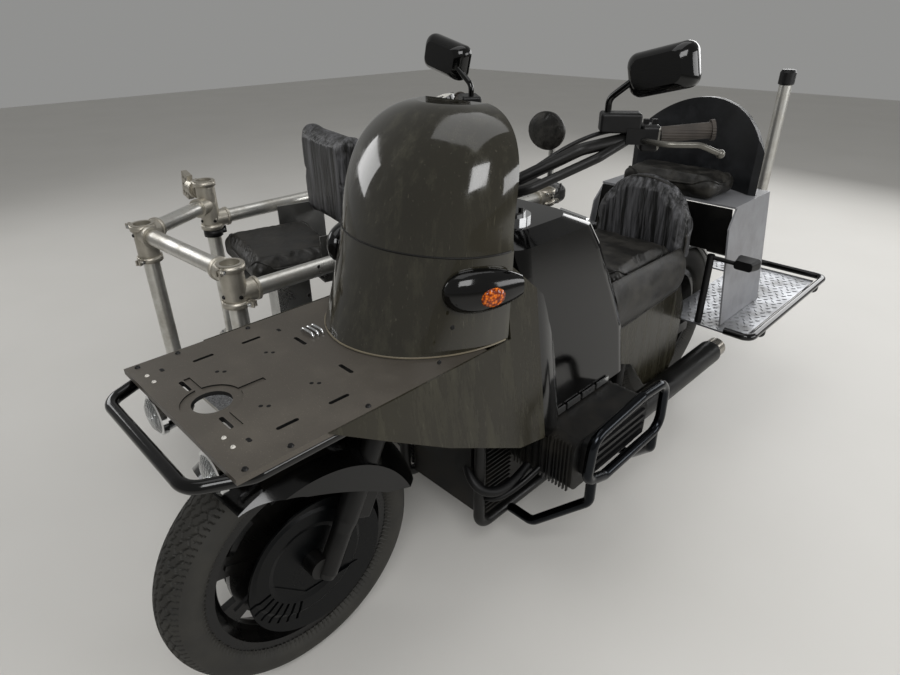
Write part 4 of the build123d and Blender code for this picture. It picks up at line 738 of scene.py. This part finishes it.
# Tank shelter, engine bay and frame
# The shelter over the tank is gloss black sheet with a chrome strip along its rear edge and a filler cap.
# Below it are a rough cast engine with cooling ribs, radiators, an exhaust pipe and a dark chrome crash bar.
CAP_CENTRE, CAP_REACH, CAP_FROM, CAP_TO = at_mm(50, 690, 980), 0.0535, 0.9805, 0.9935
SILL_Y, SILL_AT = (690, 760, 830, 900), (244, 477)
SHELTER_EDGE = [
    # y, z and half width of the sheet's rear edge, in millimetres
    (840, 980, 172.0), (900, 950, 176.5), (946, 880, 186.4), (1004, 744, 205.5), (1050, 624, 222.3),
    (1052, 478, 242.6),
]
TRIM_RADIUS, TRIM_STEPS = 0.0048, 6
BLOCK_RIBS = [at_mm(side * 153, 556, z) for side in (-1, 1) for z in range(190, 552, 15)]
HEAD_FINS = [at_mm(side * x, 617, 390) for side in (-1, 1) for x in range(164, 346, 11)]
HOSES = [
    # name, millimetre points, radius
    ("left_coolant_hose", [(118, 470, 352), (150, 452, 330), (190, 470, 300), (214, 540, 296),
                           (214, 614, 330)], 14),
    ("right_coolant_hose", [(-118, 470, 352), (-150, 452, 330), (-190, 470, 300), (-214, 540, 296),
                            (-214, 614, 330)], 14),
    ("left_oil_line", [(140, 500, 250), (172, 480, 262), (226, 520, 282), (250, 618, 340)], 8),
]
PIPE_TIP_FROM = at_mm(0, 1752, 0)[1]

# Sand cast alloy with 4 mm lumps, under black paint and road dirt: dark, rough and half metallic.
cast_engine = coated_metal("cast_engine_alloy", "#121212", "#38342D", 0.5, 0.5, 3.846, 0.7)
# Stainless tube that heat has coloured: a straw and brown mirror.
steel_pipe = coated_metal("heated_stainless_pipe", "#A7A39B", "#5C4A36", 1.0, 0.24, 25.0, 0.5)


def shelter_finish(centre, normal):
    """Chrome on the filler cap, black on its knobs and on the shelter."""
    over_cap = math.hypot(centre.x - CAP_CENTRE[0], centre.y - CAP_CENTRE[1]) < CAP_REACH
    return 1 if over_cap and CAP_FROM < centre.z < CAP_TO else 0


def prism(name, outline, ends):
    """A flat plate from an outline, given at its two ends as functions of the outline's points."""
    count = len(outline)
    points = [end(*point) for end in ends for point in outline]
    faces = [tuple(range(count)), tuple(range(2 * count - 1, count - 1, -1))]
    faces += [(k, (k + 1) % count, (k + 1) % count + count, k + count) for k in range(count)]
    return plain_mesh(name, points, faces)


def rib(tree, given):
    """One thin fin, and nothing of a second finish."""
    size = add_node(tree, "ShaderNodeCombineXYZ", {"X": given["Reach"], "Y": given["Length"],
                                                   "Z": given["Thickness"]})
    return add_node(tree, "GeometryNodeMeshCube", {"Size": size}), []


def pipe_finish(centre, normal):
    """Bare steel on the tip, black before it."""
    return 1 if centre.y > PIPE_TIP_FROM else 0


paint_parts("tank_shelter", [gloss_black, bright_chrome], shelter_finish)
paint(smoked_panel, "side_covers")
for side, label in ((1, "left"), (-1, "right")):
    for index, y in enumerate(SILL_Y):
        x, z = SILL_AT
        mesh = prism("sill", [(-30, -1), (30, -1), (30, 17), (-30, 17)],
                     [lambda dy, dz, dx=dx: at_mm(side * (x + dx), y + dy, z + dz) for dx in (0, 4)])
        add_piece("%s_sill_plate_%d" % (label, index), mesh, bare_steel, "chassis")
shelter_skin = search_tree(nodes["tank_shelter"].data)
for side, label in ((1, "left"), (-1, "right")):
    laid = []
    for first, second in zip(SHELTER_EDGE, SHELTER_EDGE[1:]):
        for step in range(TRIM_STEPS):
            y, z, half = (a + (b - a) * step / TRIM_STEPS for a, b in zip(first, second))
            start = Vector(at_mm(side * (half + 120), y - 4, z))
            hit, _, _, _ = shelter_skin.ray_cast(start, Vector((-side, 0, 0)))
            if hit is not None and abs(hit.x - MIDDLE_X) > 0.09:
                laid.append((hit.x + side * 0.003, hit.y + 0.002, hit.z))
    strip = tube_mesh(label + "_shelter_trim", laid, TRIM_RADIUS, sides=3)
    add_piece(label + "_shelter_trim", strip, bright_chrome, "chassis")
paint(cast_engine, "engine", "radiators")
RIBS = repeat_tree("cooling_ribs", ("Length", "Reach", "Thickness"), rib)
for name, places, turn, length, reach, thick in (
        ("block_side_ribs", BLOCK_RIBS, (0, 0, 0), 0.104, 0.010, 0.004),
        ("head_front_ribs", HEAD_FINS, (math.pi / 2, 0, 0), 0.150, 0.0035, 0.008)):
    repeat_on(name, RIBS, places, [turn] * len(places), {
        "Length": length, "Reach": reach, "Thickness": thick, "Material": cast_engine,
        "Second Material": cast_engine}, "chassis")
for name, route, radius in HOSES:
    mesh = tube_mesh(name, [at_mm(*p) for p in route], radius / 1000)
    add_piece(name, mesh, black_plastic, "chassis")
paint_parts("exhaust", [satin_black, steel_pipe], pipe_finish)
paint(dark_chrome, "crash_bar")
paint(black_plastic, "crash_bar_cover")
paint(satin_black, "main_frame", "plate_bearers", "rear_frame", "swingarm", "sidecar_frame")

# Seats of the motorcycle
# Foam pads covered in dark leather, which is stretched over them and sewn with piping along the edges.
# The rider's backrest has sewn upright channels, and the operator's backrest is a bowed vinyl shell.
CLOTH_FRAMES = 20
SEW_LINE_Y = at_mm(0, 1092, 0)[1]
PIPING, PIPING_LIFT, CORNER_POWER = 0.0035, 0.0008, 0.42
SKIRT_TOP, SKIRT_DROP, SKIRT_Y, SKIRT_LONG, SKIRT_THICK = 738, 172, 1012, 427, 4.0
PLEATS = [-0.118, -0.092, -0.071, -0.045, -0.022, 0.004, 0.027, 0.051, 0.078, 0.101, 0.124]
PLEAT_LEAN = 0.062
ARCH_HALF, ARCH_HIGH, ARCH_BORDER = 0.190, 0.150, 0.018


def leather(name, colour, worn, grain_mm, streak, crease_depth=0.003, patch_mm=62.5):
    """Tanned and dyed hide with a pebbled grain, fold creases and greyer rubbed patches."""
    material, tree, shader, place = start_material(name, {"Specular IOR Level": 0.32})
    drawn = add_node(tree, "ShaderNodeMapping", {"Vector": place, "Scale": (1.0, 1.0, streak)})
    clouds = add_node(tree, "ShaderNodeTexNoise", {"Vector": drawn, "Scale": 1000 / patch_mm, "Detail": 9.0,
                                                   "Roughness": 0.68})
    rubbed = add_node(tree, "ShaderNodeMapRange", {"Value": clouds, "From Min": 0.44, "From Max": 0.68})
    tint = add_node(tree, "ShaderNodeMix", {"Factor": rubbed, 6: colour, 7: worn}, data_type="RGBA")
    film = add_node(tree, "ShaderNodeMapRange", {"Value": clouds, "From Min": 0.3, "From Max": 0.8,
                                                 "To Min": 0.3, "To Max": 0.62})
    creases = add_node(tree, "ShaderNodeTexNoise", {"Vector": drawn, "Scale": 2100 / patch_mm,
                                                    "Detail": 6.0})
    folds = add_node(tree, "ShaderNodeBump", {"Height": creases, "Strength": 0.5, "Distance": crease_depth})
    pebbles = add_node(tree, "ShaderNodeTexVoronoi", {"Vector": place, "Scale": 1000 / grain_mm},
                       feature="SMOOTH_F1")
    grain = add_node(tree, "ShaderNodeBump", {"Height": pebbles, "Strength": 0.3, "Distance": 0.0007,
                                              "Normal": folds})
    set_inputs(tree, shader, {"Base Color": tint, "Roughness": film, "Normal": grain})
    return material


# Drum-dyed hide: nearly black, brown-grey where it is sat on, with a grain of 2 mm pebbles.
seat_leather = leather("worn_dark_seat_leather", "#171614", "#35332F", 2.2, 1.0)
# The same hide pulled tight downwards: its pale wear is drawn out into upright streaks.
streaked_leather = leather("streaked_grey_leather", "#161616", "#67676A", 2.2, 0.07, 0.006, 21.74)
# Embossed vinyl on a board: even, cooler and flatter than leather.
grey_vinyl = leather("dark_grey_vinyl", "#131416", "#1C1D20", 1.6, 1.0, 0.0008)


def evaluated_mesh(holder):
    """The plain mesh that an object's modifiers give."""
    return bpy.data.meshes.new_from_object(holder.evaluated_get(bpy.context.evaluated_depsgraph_get()))


def finer_mesh(mesh, name):
    """The mesh after one level of subdivision."""
    holder = bpy.data.objects.new(name, mesh)
    scene.collection.objects.link(holder)
    smooth = holder.modifiers.new("smooth", "SUBSURF")
    smooth.levels = smooth.render_levels = 1
    made = evaluated_mesh(holder)
    made.name = name
    bpy.data.objects.remove(holder)
    return made


def swell(name, node, voxel, cap, source=None):
    """Swells a padded copy of a plain solid like a filled cover, by cloth under pressure, and smooths it."""
    inset, slack = 0.009, 0.004
    work = bmesh.new()
    work.from_mesh(source or nodes[node].data)
    bmesh.ops.remove_doubles(work, verts=work.verts, dist=1e-5)
    bmesh.ops.recalc_face_normals(work, faces=work.faces)
    low, high = (Vector(c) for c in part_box(node))
    middle, size = (low + high) / 2, high - low
    for vertex in work.verts:
        vertex.co = Vector([m + (c - m) * (1 - 2 * inset / s) for c, m, s in zip(vertex.co, middle, size)])
    mesh = bpy.data.meshes.new(name)
    work.to_mesh(mesh)
    work.free()
    holder = bpy.data.objects.new(name, mesh)
    scene.collection.objects.link(holder)
    even = holder.modifiers.new("even", "REMESH")
    even.mode = "VOXEL"
    even.voxel_size = voxel
    holder.data = evaluated_mesh(holder)
    holder.modifiers.clear()
    before = np.empty(len(holder.data.vertices) * 3)
    holder.data.vertices.foreach_get("co", before)
    shape = holder.data
    cover = holder.modifiers.new("cover", "CLOTH")
    cover.settings.quality = 4
    cover.settings.use_pressure = True
    cover.settings.uniform_pressure_force = 4.0
    cover.settings.effector_weights.gravity = 0
    cover.settings.tension_stiffness = 12
    cover.settings.compression_stiffness = 12
    cover.settings.shear_stiffness = 6
    cover.point_cache.frame_start = 1
    cover.point_cache.frame_end = CLOTH_FRAMES
    for step in range(1, CLOTH_FRAMES + 1):
        scene.frame_set(step)
    shape = evaluated_mesh(holder)
    holder.modifiers.clear()
    after = np.empty_like(before)
    shape.vertices.foreach_get("co", after)
    moved = (after - before).reshape(-1, 3)
    moved *= np.minimum(1.0, cap / np.maximum(np.linalg.norm(moved, axis=1, keepdims=True), 1e-9))
    placed = np.clip(before.reshape(-1, 3) + moved, np.array(low) - slack, np.array(high) + slack)
    placed[:, 2] = np.maximum(placed[:, 2], low.z)
    shape.vertices.foreach_set("co", placed.ravel())
    scene.frame_set(1)
    bpy.data.objects.remove(holder)
    return finer_mesh(shape, name)


def press_channels(mesh, lines, depth, width, where):
    """Draws the cover in along sewn lines; each line gives a point's distance from it in metres."""
    coords, normals = np.empty(len(mesh.vertices) * 3), np.empty(len(mesh.vertices) * 3)
    mesh.vertices.foreach_get("co", coords)
    mesh.vertices.foreach_get("normal", normals)
    coords, normals = coords.reshape(-1, 3), normals.reshape(-1, 3)
    pull = np.zeros(len(coords))
    for line in lines:
        pull = np.maximum(pull, depth * np.exp(-(line(coords) / width) ** 2))
    coords -= normals * (pull * where(coords, normals))[:, None]
    mesh.vertices.foreach_set("co", coords.ravel())
    mesh.update()


def add_pad(name, mesh, material, node):
    """Puts a finished pad in place of its plain solid."""
    pad = add_piece(name, mesh, material, "chassis", 60.0)
    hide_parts(node)


def add_piping(name, points, radius=PIPING, closed=False):
    """Sews a leather-covered cord along points that lie on a cover."""
    mesh = tube_mesh(name, points, radius, closed=closed, sides=3)
    add_piece(name, mesh, seat_leather, "chassis")


def pad_top(node, inset):
    """The middle of the top of a node's box, and the half lengths of a loop inset from its sides."""
    low, high = (Vector(c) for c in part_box(node))
    middle = ((low.x + high.x) / 2, (low.y + high.y) / 2, high.z)
    return middle, ((high.x - low.x) / 2 - inset, (high.y - low.y) / 2 - inset)


def add_top_piping(name, mesh, middle, half, angle=0.0):
    """Runs piping round the top of a pad, in a rounded loop found by rays from above."""
    skin = search_tree(mesh)
    loop = []
    for index in range(90):
        turn = 2 * math.pi * index / 90
        a = math.copysign(abs(math.cos(turn)) ** CORNER_POWER, math.cos(turn)) * half[0]
        b = math.copysign(abs(math.sin(turn)) ** CORNER_POWER, math.sin(turn)) * half[1]
        start = (middle[0] + a * math.cos(angle) - b * math.sin(angle),
                 middle[1] + a * math.sin(angle) + b * math.cos(angle), middle[2] + 0.2)
        hit, _, _, _ = skin.ray_cast(Vector(start), Vector((0, 0, -1)))
        if hit is not None:
            loop.append((hit.x, hit.y, hit.z + PIPING_LIFT))
    add_piping(name, loop, closed=True)


def seat_skirt(side):
    """The leather side of the saddle, bulging out over the side cover down to a rounded lower edge."""
    rows, columns = 14, 30
    outer, inner = [], []
    for row in range(rows):
        v = row / (rows - 1)
        for column in range(columns):
            u = column / (columns - 1)
            y = SKIRT_Y + u * SKIRT_LONG
            z = SKIRT_TOP - v * (SKIRT_DROP - 26 * u)
            bulge = 21 * math.sin(math.pi * min(1.0, v * 1.02)) ** 0.7 + 4 * v
            crease = 2.0 * math.sin(u * 15 + v * 3.4) * math.sin(math.pi * v)
            x = 170.5 + 9.5 * min(1.0, v * 3) + bulge + crease
            outer.append(at_mm(side * x, y, z))
            inner.append(at_mm(side * (x - SKIRT_THICK), y, z))
    shift = rows * columns
    faces = []
    for row in range(rows - 1):
        for a in range(row * columns, row * columns + columns - 1):
            faces.append((a, a + 1, a + columns + 1, a + columns))
            faces.append((a + shift, a + shift + columns, a + shift + columns + 1, a + shift + 1))
    rim = list(range(columns)) + [row * columns + columns - 1 for row in range(1, rows)]
    rim += list(range(shift - 2, shift - columns - 1, -1))
    rim += [row * columns for row in range(rows - 2, 0, -1)]
    for a, b in zip(rim, rim[1:] + rim[:1]):
        faces.append((a, b, b + shift, a + shift))
    return plain_mesh("seat_skirt", outer + inner, faces), outer[-columns:]


def on_the_front(coords, normals):
    """Only on the front face and below the arch's border band."""
    across = (coords[:, 0] - MIDDLE_X) / (back_high[0] - back_low[0]) * 2
    up = np.maximum(coords[:, 2] - (back_high[2] - ARCH_HIGH), 0) / ARCH_HIGH
    return (normals[:, 1] < -0.3) * (np.hypot(across, up) < 0.86)


seat = swell("rider_seat_cover", "rider_seat", 0.006, 0.016)
press_channels(seat, [lambda p: p[:, 1] - SEW_LINE_Y], 0.004, 0.006, lambda coords, normals: 1.0)
add_pad("rider_seat_cover", seat, seat_leather, "rider_seat")
add_top_piping("rider_seat_piping", seat, *pad_top("rider_seat", 0.020))
for side, label in ((1, "left"), (-1, "right")):
    skirt, hem = seat_skirt(side)
    skirt = finer_mesh(skirt, label + "_seat_skirt")
    add_piece(label + "_seat_skirt", skirt, seat_leather, "chassis", 60.0)
    add_piping(label + "_seat_skirt_hem", hem, 0.003)
back = swell("rider_backrest_cover", "rider_backrest", 0.005, 0.012)
back_low, back_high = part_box("rider_backrest")
channels = [lambda p, x=MIDDLE_X + k: p[:, 0] - x + PLEAT_LEAN * (p[:, 2] - 0.8) for k in PLEATS]
press_channels(back, channels, 0.0035, 0.0045, on_the_front)
add_pad("rider_backrest_cover", back, streaked_leather, "rider_backrest")
foot = [0.70, 0.74, 0.78]
half, high_z = ARCH_HALF - ARCH_BORDER, back_high[2] - ARCH_HIGH
arch = [(half, z) for z in foot]
arch += [(half * math.cos(a), high_z + (ARCH_HIGH - ARCH_BORDER) * math.sin(a))
         for a in np.linspace(0, math.pi, 30)]
arch += [(-half, z) for z in reversed(foot)]
back_skin, laid = search_tree(back), []
for x, z in arch:
    hit, _, _, _ = back_skin.ray_cast(Vector((MIDDLE_X + x, back_low[1] - 0.1, z)), Vector((0, 1, 0)))
    if hit is not None:
        laid.append((hit.x, hit.y - 0.0006, hit.z))
add_piping("rider_backrest_piping_0", laid, 0.004)
pad = swell("operator_seat_cover", "operator_seat", 0.006, 0.014)
add_pad("operator_seat_cover", pad, seat_leather, "operator_seat")
add_top_piping("operator_seat_piping", pad, *pad_top("operator_seat", 0.018))
paint(grey_vinyl, "operator_backrest")

# Equipment box, rear deck, rail and signals
# Light grey sheet panels on four dark fasteners each side, over a deck of raised diamond tread plate.
# A black tube rail runs round the deck, with signal heads and a tall post under a soft black cap.
PANEL_Y, PANEL_HALF, PANEL_TOP, PANEL_FOOT = (1603, 1600), 251, 848.5, 694
BOX_FASTENERS = [((side * x, y, z), (side, 0, 0.11)) for y in (1622, 1850)
                 for z, x in ((520, 289.5), (800, 258.5)) for side in (-1, 1)]
TREAD_STEP, TREAD_CLEAR = 26, 0.011
LOZENGE = {"Length": 0.022, "Width": 0.0075, "Height": 0.0018}
POST_CAP_FROM = 1.184
SIGNAL_FROM = 0.655

# Steel sheet sprayed light grey: flat, cool and semi-matt, with faint brown handling marks.
grey_panel = coated_metal("light_grey_painted_sheet", "#85868A", "#67645E", 0.2, 0.38, 16.67, 0.4)
# Rolled alloy plate, bare: soft silver, darkened by dirt between its lozenges.
tread_alloy = coated_metal("rolled_alloy_tread_plate", "#8C8E92", "#55524C", 0.85, 0.36, 16.67, 0.75)


def bare_alloy(name, values, clouds, colours, film, bump):
    """Unpainted alloy: oxide clouds, two colours for them, a film of roughness and a fine relief."""
    material, tree, shader, place = start_material(name, values)
    oxide = add_node(tree, "ShaderNodeTexNoise", {"Vector": place, **clouds})
    stain = oxide
    if film:
        stain = add_node(tree, "ShaderNodeMapRange", {"Value": oxide, "From Min": 0.45, "From Max": 0.75})
        rough = add_node(tree, "ShaderNodeMapRange", {"Value": oxide, "From Min": 0.3, "From Max": 0.8,
                                                      "To Min": film[0], "To Max": film[1]})
        set_inputs(tree, shader, {"Roughness": rough})
    tint = add_node(tree, "ShaderNodeMix", {"Factor": stain, 6: colours[0], 7: colours[1]}, data_type="RGBA")
    fine = add_node(tree, "ShaderNodeTexNoise", {"Vector": place, "Scale": 1000 / bump[0], "Detail": 3.0})
    relief = add_node(tree, "ShaderNodeBump", {"Height": fine, "Strength": bump[1], "Distance": bump[2]})
    set_inputs(tree, shader, {"Base Color": tint, "Normal": relief})
    return material


# Drawn alloy tube, left bare: a soft silver with 80 mm oxide stains and 6 mm scuffs.
tube_alloy = bare_alloy("drawn_alloy_tube", {"Metallic": 0.9},
                        {"Scale": 1000 / 83.33, "Detail": 9.0, "Roughness": 0.65},
                        ("#D2D1CC", "#A39E93"), (0.24, 0.5), (6.25, 0.15, 0.0004))


def lozenge(tree, given):
    """A low eight-sided lozenge with sloping sides, and nothing of a second finish."""
    head = add_node(tree, "GeometryNodeMeshCone", {"Vertices": 8, "Radius Bottom": 0.5, "Radius Top": 0.28,
                                                   "Depth": 1.0})
    size = add_node(tree, "ShaderNodeCombineXYZ", {"X": given["Length"], "Y": given["Width"],
                                                   "Z": given["Height"]})
    return add_node(tree, "GeometryNodeTransform", {"Geometry": head, "Scale": size}), []


def post_finish(centre, normal):
    """Black plastic on the post's cap, bare tube below."""
    return 1 if centre.z > POST_CAP_FROM else 0


def signal_finish(centre, normal):
    """Amber on the rear face of each head, black elsewhere."""
    return 1 if normal.y > 0.9 and centre.z > SIGNAL_FROM else 0


paint(grey_panel, "equipment_box")
# Painted shade: a flat black sheet closes the front of the box, standing in for its dark inside.
outline = [(-PANEL_HALF, PANEL_TOP), (PANEL_HALF, PANEL_TOP), (PANEL_HALF + 17, PANEL_FOOT),
           (110, PANEL_FOOT), (-110, PANEL_FOOT), (-PANEL_HALF - 17, PANEL_FOOT)]
shade_panel = prism("box_front_shade_panel", outline, [lambda x, z, y=y: at_mm(x, y, z) for y in PANEL_Y])
add_piece("box_front_shade_panel", shade_panel, satin_black, "chassis")
add_fasteners("box_panel_fasteners", BOX_FASTENERS, 8.0, 3.0, 3.0, black_screw)
paint(tread_alloy, "rear_deck")
deck_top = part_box("rear_deck")[1][2]
deck_skin = search_tree(nodes["rear_deck"].data)
lozenges, lozenge_turns = [], []
for row, y in enumerate(range(1545, 2226, TREAD_STEP)):
    for column, x in enumerate(range(-318, 392, TREAD_STEP)):
        x, y_at, _ = at_mm(x + (TREAD_STEP / 2 if row % 2 else 0), y, 0)
        hits = [deck_skin.ray_cast(Vector((x + dx, y_at + dy, deck_top + 0.05)), Vector((0, 0, -1)))[0]
                for dx in (-TREAD_CLEAR, TREAD_CLEAR) for dy in (-TREAD_CLEAR, TREAD_CLEAR)]
        if all(hit is not None and abs(hit.z - deck_top) < 0.001 for hit in hits):
            lozenges.append((x, y_at, deck_top + 0.0001))
            lozenge_turns.append((0.0, 0.0, math.radians(45 if (row + column) % 2 else -45)))
tread_tree = repeat_tree("tread_lozenges", tuple(LOZENGE), lozenge)
repeat_on("deck_tread_lozenges", tread_tree, lozenges, lozenge_turns,
          {**LOZENGE, "Material": tread_alloy, "Second Material": tread_alloy}, "chassis")
paint(gloss_black, "deck_rail")
paint_parts("capped_post", [tube_alloy, black_plastic], post_finish)
paint_parts("rear_signals", [black_plastic, amber_lens], signal_finish)

# Sidecar
# A ladder frame carries a carpeted board, with five alloy posts joined by rails in sand cast fittings.
# A leather seat stands on a steel pedestal in front, and a smaller one with a round pad stands behind.
CLAMP_RADIUS, CLAMP_HEIGHT, CLAMP_REACH = 34.5, 16, 23
COLLARS = [
    # place of the post, height of its upper mouth, turns of its upper and lower clamp in degrees
    ((-430, 160), 878, -60, 30), ((-930, 130), 878, -150, -60), ((-1100, 415), 930, -170, 100),
    ((-430, 1480), 822, -30, 60), ((-1100, 1480), 822, -150, 120),
]
SOCKETS = [(-430, 160, 790), (-1100, 415, 790), (-930, 130, 846), (-430, 1480, 790), (-1100, 1480, 790)]
GRUB_SCREWS = [((x + dx * 31.5, y + dy * 31.5, z), (dx, dy, 0)) for x, y, z in SOCKETS
               for dx, dy in ((0, -1), (1, 0))]
DECK_SCREWS = [((x, y, 330.5), UP) for x in (-1085, -444) for y in range(190, 2010, 182)]
FOOT_BOLTS = [((x + 40 * math.cos(a), y + 40 * math.sin(a), 337.5), UP) for (x, y), _, _, _ in COLLARS
              for a in (math.pi / 4, 3 * math.pi / 4, 5 * math.pi / 4, 7 * math.pi / 4)]
SEAT_TURN = math.radians(-12)

# Nylon loop pile glued to board: no shine, 4 mm loops, speckled dark and light grey and dusty in patches.
loop_carpet, tree, shader, place = start_material("grey_looped_carpet", {
    "Roughness": 0.95, "Sheen Weight": 0.25})
loops = add_node(tree, "ShaderNodeTexVoronoi", {"Vector": place, "Scale": 1000 / 4.167}, feature="F1")
yarns = add_node(tree, "ShaderNodeTexNoise", {"Vector": place, "Scale": 1000 / 6.667, "Detail": 3.0,
                                              "Roughness": 0.8})
speck = add_node(tree, "ShaderNodeMapRange", {"Value": yarns, "From Min": 0.4, "From Max": 0.62})
pile = add_node(tree, "ShaderNodeMix", {"Factor": speck, 6: "#2F3133", 7: "#74767A"}, data_type="RGBA")
patches = add_node(tree, "ShaderNodeTexNoise", {"Vector": place, "Scale": 1000 / 200, "Detail": 6.0})
dust = add_node(tree, "ShaderNodeMapRange", {"Value": patches, "From Min": 0.45, "From Max": 0.8,
                                             "To Max": 0.35})
tint = add_node(tree, "ShaderNodeMix", {"Factor": dust, 6: pile, 7: "#7D7A72"}, data_type="RGBA")
relief = add_node(tree, "ShaderNodeBump", {"Height": loops, "Strength": 0.9, "Distance": 0.003})
set_inputs(tree, shader, {"Base Color": tint, "Normal": relief})
# Extruded alloy edging, scraped by loading: dull silver with brown dirt.
deck_edge = coated_metal("alloy_deck_edge", "#A3A19B", "#605B52", 0.9, 0.35, 16.67, 0.6)
# Alloy poured in sand: a pale pebbled skin of 3 mm lumps, yellowed in 50 mm clouds.
cast_alloy = bare_alloy("sand_cast_alloy", {"Metallic": 0.85, "Roughness": 0.4},
                        {"Scale": 1000 / 50, "Detail": 8.0, "Roughness": 0.7},
                        ("#D0CCC2", "#938C7E"), None, (2.632, 0.55, 0.0009))
# Steel sheet ground with a coarse belt: satin silver with 7 mm marks.
brushed_steel = coated_metal("brushed_steel", "#B3B3B1", "#77736A", 1.0, 0.3, 7.143, 0.4)


def deck_finish(centre, normal):
    """Carpet on top, alloy edging round the board."""
    return 1 if normal.z > 0.7 else 0


def clamp(tree, given):
    """A split clamp band with two lugs, and the bolt and nut that draw them together."""
    circle = add_node(tree, "GeometryNodeCurvePrimitiveCircle", {"Resolution": 40,
                                                                 "Radius": given["Tube Radius"]})
    section = add_node(tree, "GeometryNodeCurvePrimitiveQuadrilateral", {"Width": 0.006,
                                                                         "Height": given["Band Height"]})
    band = add_node(tree, "GeometryNodeCurveToMesh", {"Curve": circle, "Profile Curve": section})
    lug_size = add_node(tree, "ShaderNodeCombineXYZ", {"X": given["Lug Reach"], "Y": 0.005,
                                                       "Z": given["Band Height"]})
    lug = add_node(tree, "GeometryNodeMeshCube", {"Size": lug_size})
    bolt_x = add_node(tree, "ShaderNodeMath", {0: given["Lug Reach"], 1: 0.42, 2: given["Tube Radius"]},
                      operation="MULTIPLY_ADD")
    lugs, bolts = [], []
    for y in (-0.0055, 0.0055):
        at = add_node(tree, "ShaderNodeCombineXYZ", {"X": bolt_x, "Y": y})
        lugs.append(add_node(tree, "GeometryNodeTransform", {"Geometry": lug, "Translation": at}))
    for reach, length, y, corners in ((0.0032, 0.030, 0.0, 12), (0.0062, 0.0045, -0.0105, 6),
                                      (0.0058, 0.0055, 0.011, 6)):
        shank = add_node(tree, "GeometryNodeMeshCylinder", {"Vertices": corners, "Radius": reach,
                                                            "Depth": length})
        at = add_node(tree, "ShaderNodeCombineXYZ", {"X": bolt_x, "Y": y})
        bolts.append(add_node(tree, "GeometryNodeTransform", {
            "Geometry": shank, "Rotation": (math.pi / 2, 0, 0), "Translation": at}))
    cast = add_node(tree, "GeometryNodeJoinGeometry", {"Geometry": [band] + lugs})
    return cast, add_node(tree, "GeometryNodeJoinGeometry", {"Geometry": bolts})


CLAMPS = repeat_tree("split_clamps", ("Tube Radius", "Band Height", "Lug Reach"), clamp)


def add_clamps(name, places, radius, height, reach, band):
    """Bolts split clamps round tubes at millimetre places, each turned upright by its own degrees."""
    turns = [(0, 0, math.radians(turn)) for _, turn in places]
    repeat_on(name, CLAMPS, [at_mm(*at) for at, _ in places], turns, {
        "Tube Radius": radius / 1000, "Band Height": height / 1000, "Lug Reach": reach / 1000,
        "Material": band, "Second Material": bare_steel}, "chassis")


def drum_form():
    """A short drum with rounded rims, lying on its side, a little wider than tall."""
    low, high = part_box("rear_seat_pad")
    middle = [(a + b) / 2 for a, b in zip(low, high)]
    half = [(b - a) / 2 - 0.008 for a, b in zip(low, high)]
    outline = [(-1.0, 0.45), (-0.96, 0.8), (-0.75, 0.96), (-0.3, 1.0), (0.3, 1.0), (0.75, 0.96), (0.96, 0.8),
               (1.0, 0.45)]
    columns = 48
    points = [(middle[0], middle[1] - half[1], middle[2])]
    for along_y, reach in outline:
        for column in range(columns):
            angle = 2 * math.pi * column / columns
            points.append((middle[0] + half[0] * reach * math.cos(angle), middle[1] + half[1] * along_y,
                           middle[2] + half[2] * reach * math.sin(angle)))
    points.append((middle[0], middle[1] + half[1], middle[2]))
    faces = []
    last_ring = 1 + (len(outline) - 1) * columns
    for column in range(columns):
        after = (column + 1) % columns
        faces.append((0, 1 + after, 1 + column))
        for a in range(1, last_ring, columns):
            faces.append((a + column, a + after, a + columns + after, a + columns + column))
        faces.append((last_ring + column, last_ring + after, len(points) - 1))
    return plain_mesh("drum", points, faces)


paint_parts("sidecar_deck", [deck_edge, loop_carpet], deck_finish)
paint(tube_alloy, "sidecar_posts", "sidecar_rails")
paint(cast_alloy, "rail_fittings", "camera_head")
collar_clamps = []
for (x, y), mouth_z, upper_turn, lower_turn in COLLARS:
    collar_clamps += [((x, y, mouth_z - 11), upper_turn), ((x, y, 768), lower_turn)]
add_clamps("collar_clamps", collar_clamps, CLAMP_RADIUS, CLAMP_HEIGHT, CLAMP_REACH, cast_alloy)
add_clamps("black_collar_clamp", [((-1100, 415, 744), 100)], 29.5, 24, 22, black_plastic)
add_fasteners("socket_grub_screws", GRUB_SCREWS, 6.0, 4.0, 2.8, black_screw)
add_fasteners("deck_edge_screws", DECK_SCREWS, 5.2, 2.0, 2.0, bare_steel)
add_fasteners("post_foot_bolts", FOOT_BOLTS, 5.5, 5.0, 2.6, bare_steel)
paint(brushed_steel, "seat_pedestal", "rear_pedestal")
seat = swell("sidecar_seat_cover", "sidecar_seat", 0.006, 0.016)
add_pad("sidecar_seat_cover", seat, seat_leather, "sidecar_seat")
add_top_piping("sidecar_seat_piping", seat, at_mm(-850, 545, 745), (0.186, 0.156), SEAT_TURN)
back = swell("sidecar_seat_back_cover", "sidecar_seat_back", 0.006, 0.014)
add_pad("sidecar_seat_back_cover", back, streaked_leather, "sidecar_seat_back")
rear = swell("rear_seat_cover", "rear_seat", 0.006, 0.014)
add_pad("rear_seat_cover", rear, seat_leather, "rear_seat")
add_top_piping("rear_seat_piping", rear, *pad_top("rear_seat", 0.018))
pad = swell("rear_pad_cover", "rear_seat_pad", 0.005, 0.010, drum_form())
drum_low, drum_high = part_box("rear_seat_pad")
rim_y = drum_low[1] + (drum_high[1] - drum_low[1]) * 0.34
press_channels(pad, [lambda p: p[:, 1] - rim_y], 0.004, 0.004,
               lambda coords, normals: np.abs(normals[:, 1]) < 0.7)
add_pad("rear_pad_cover", pad, seat_leather, "rear_seat_pad")
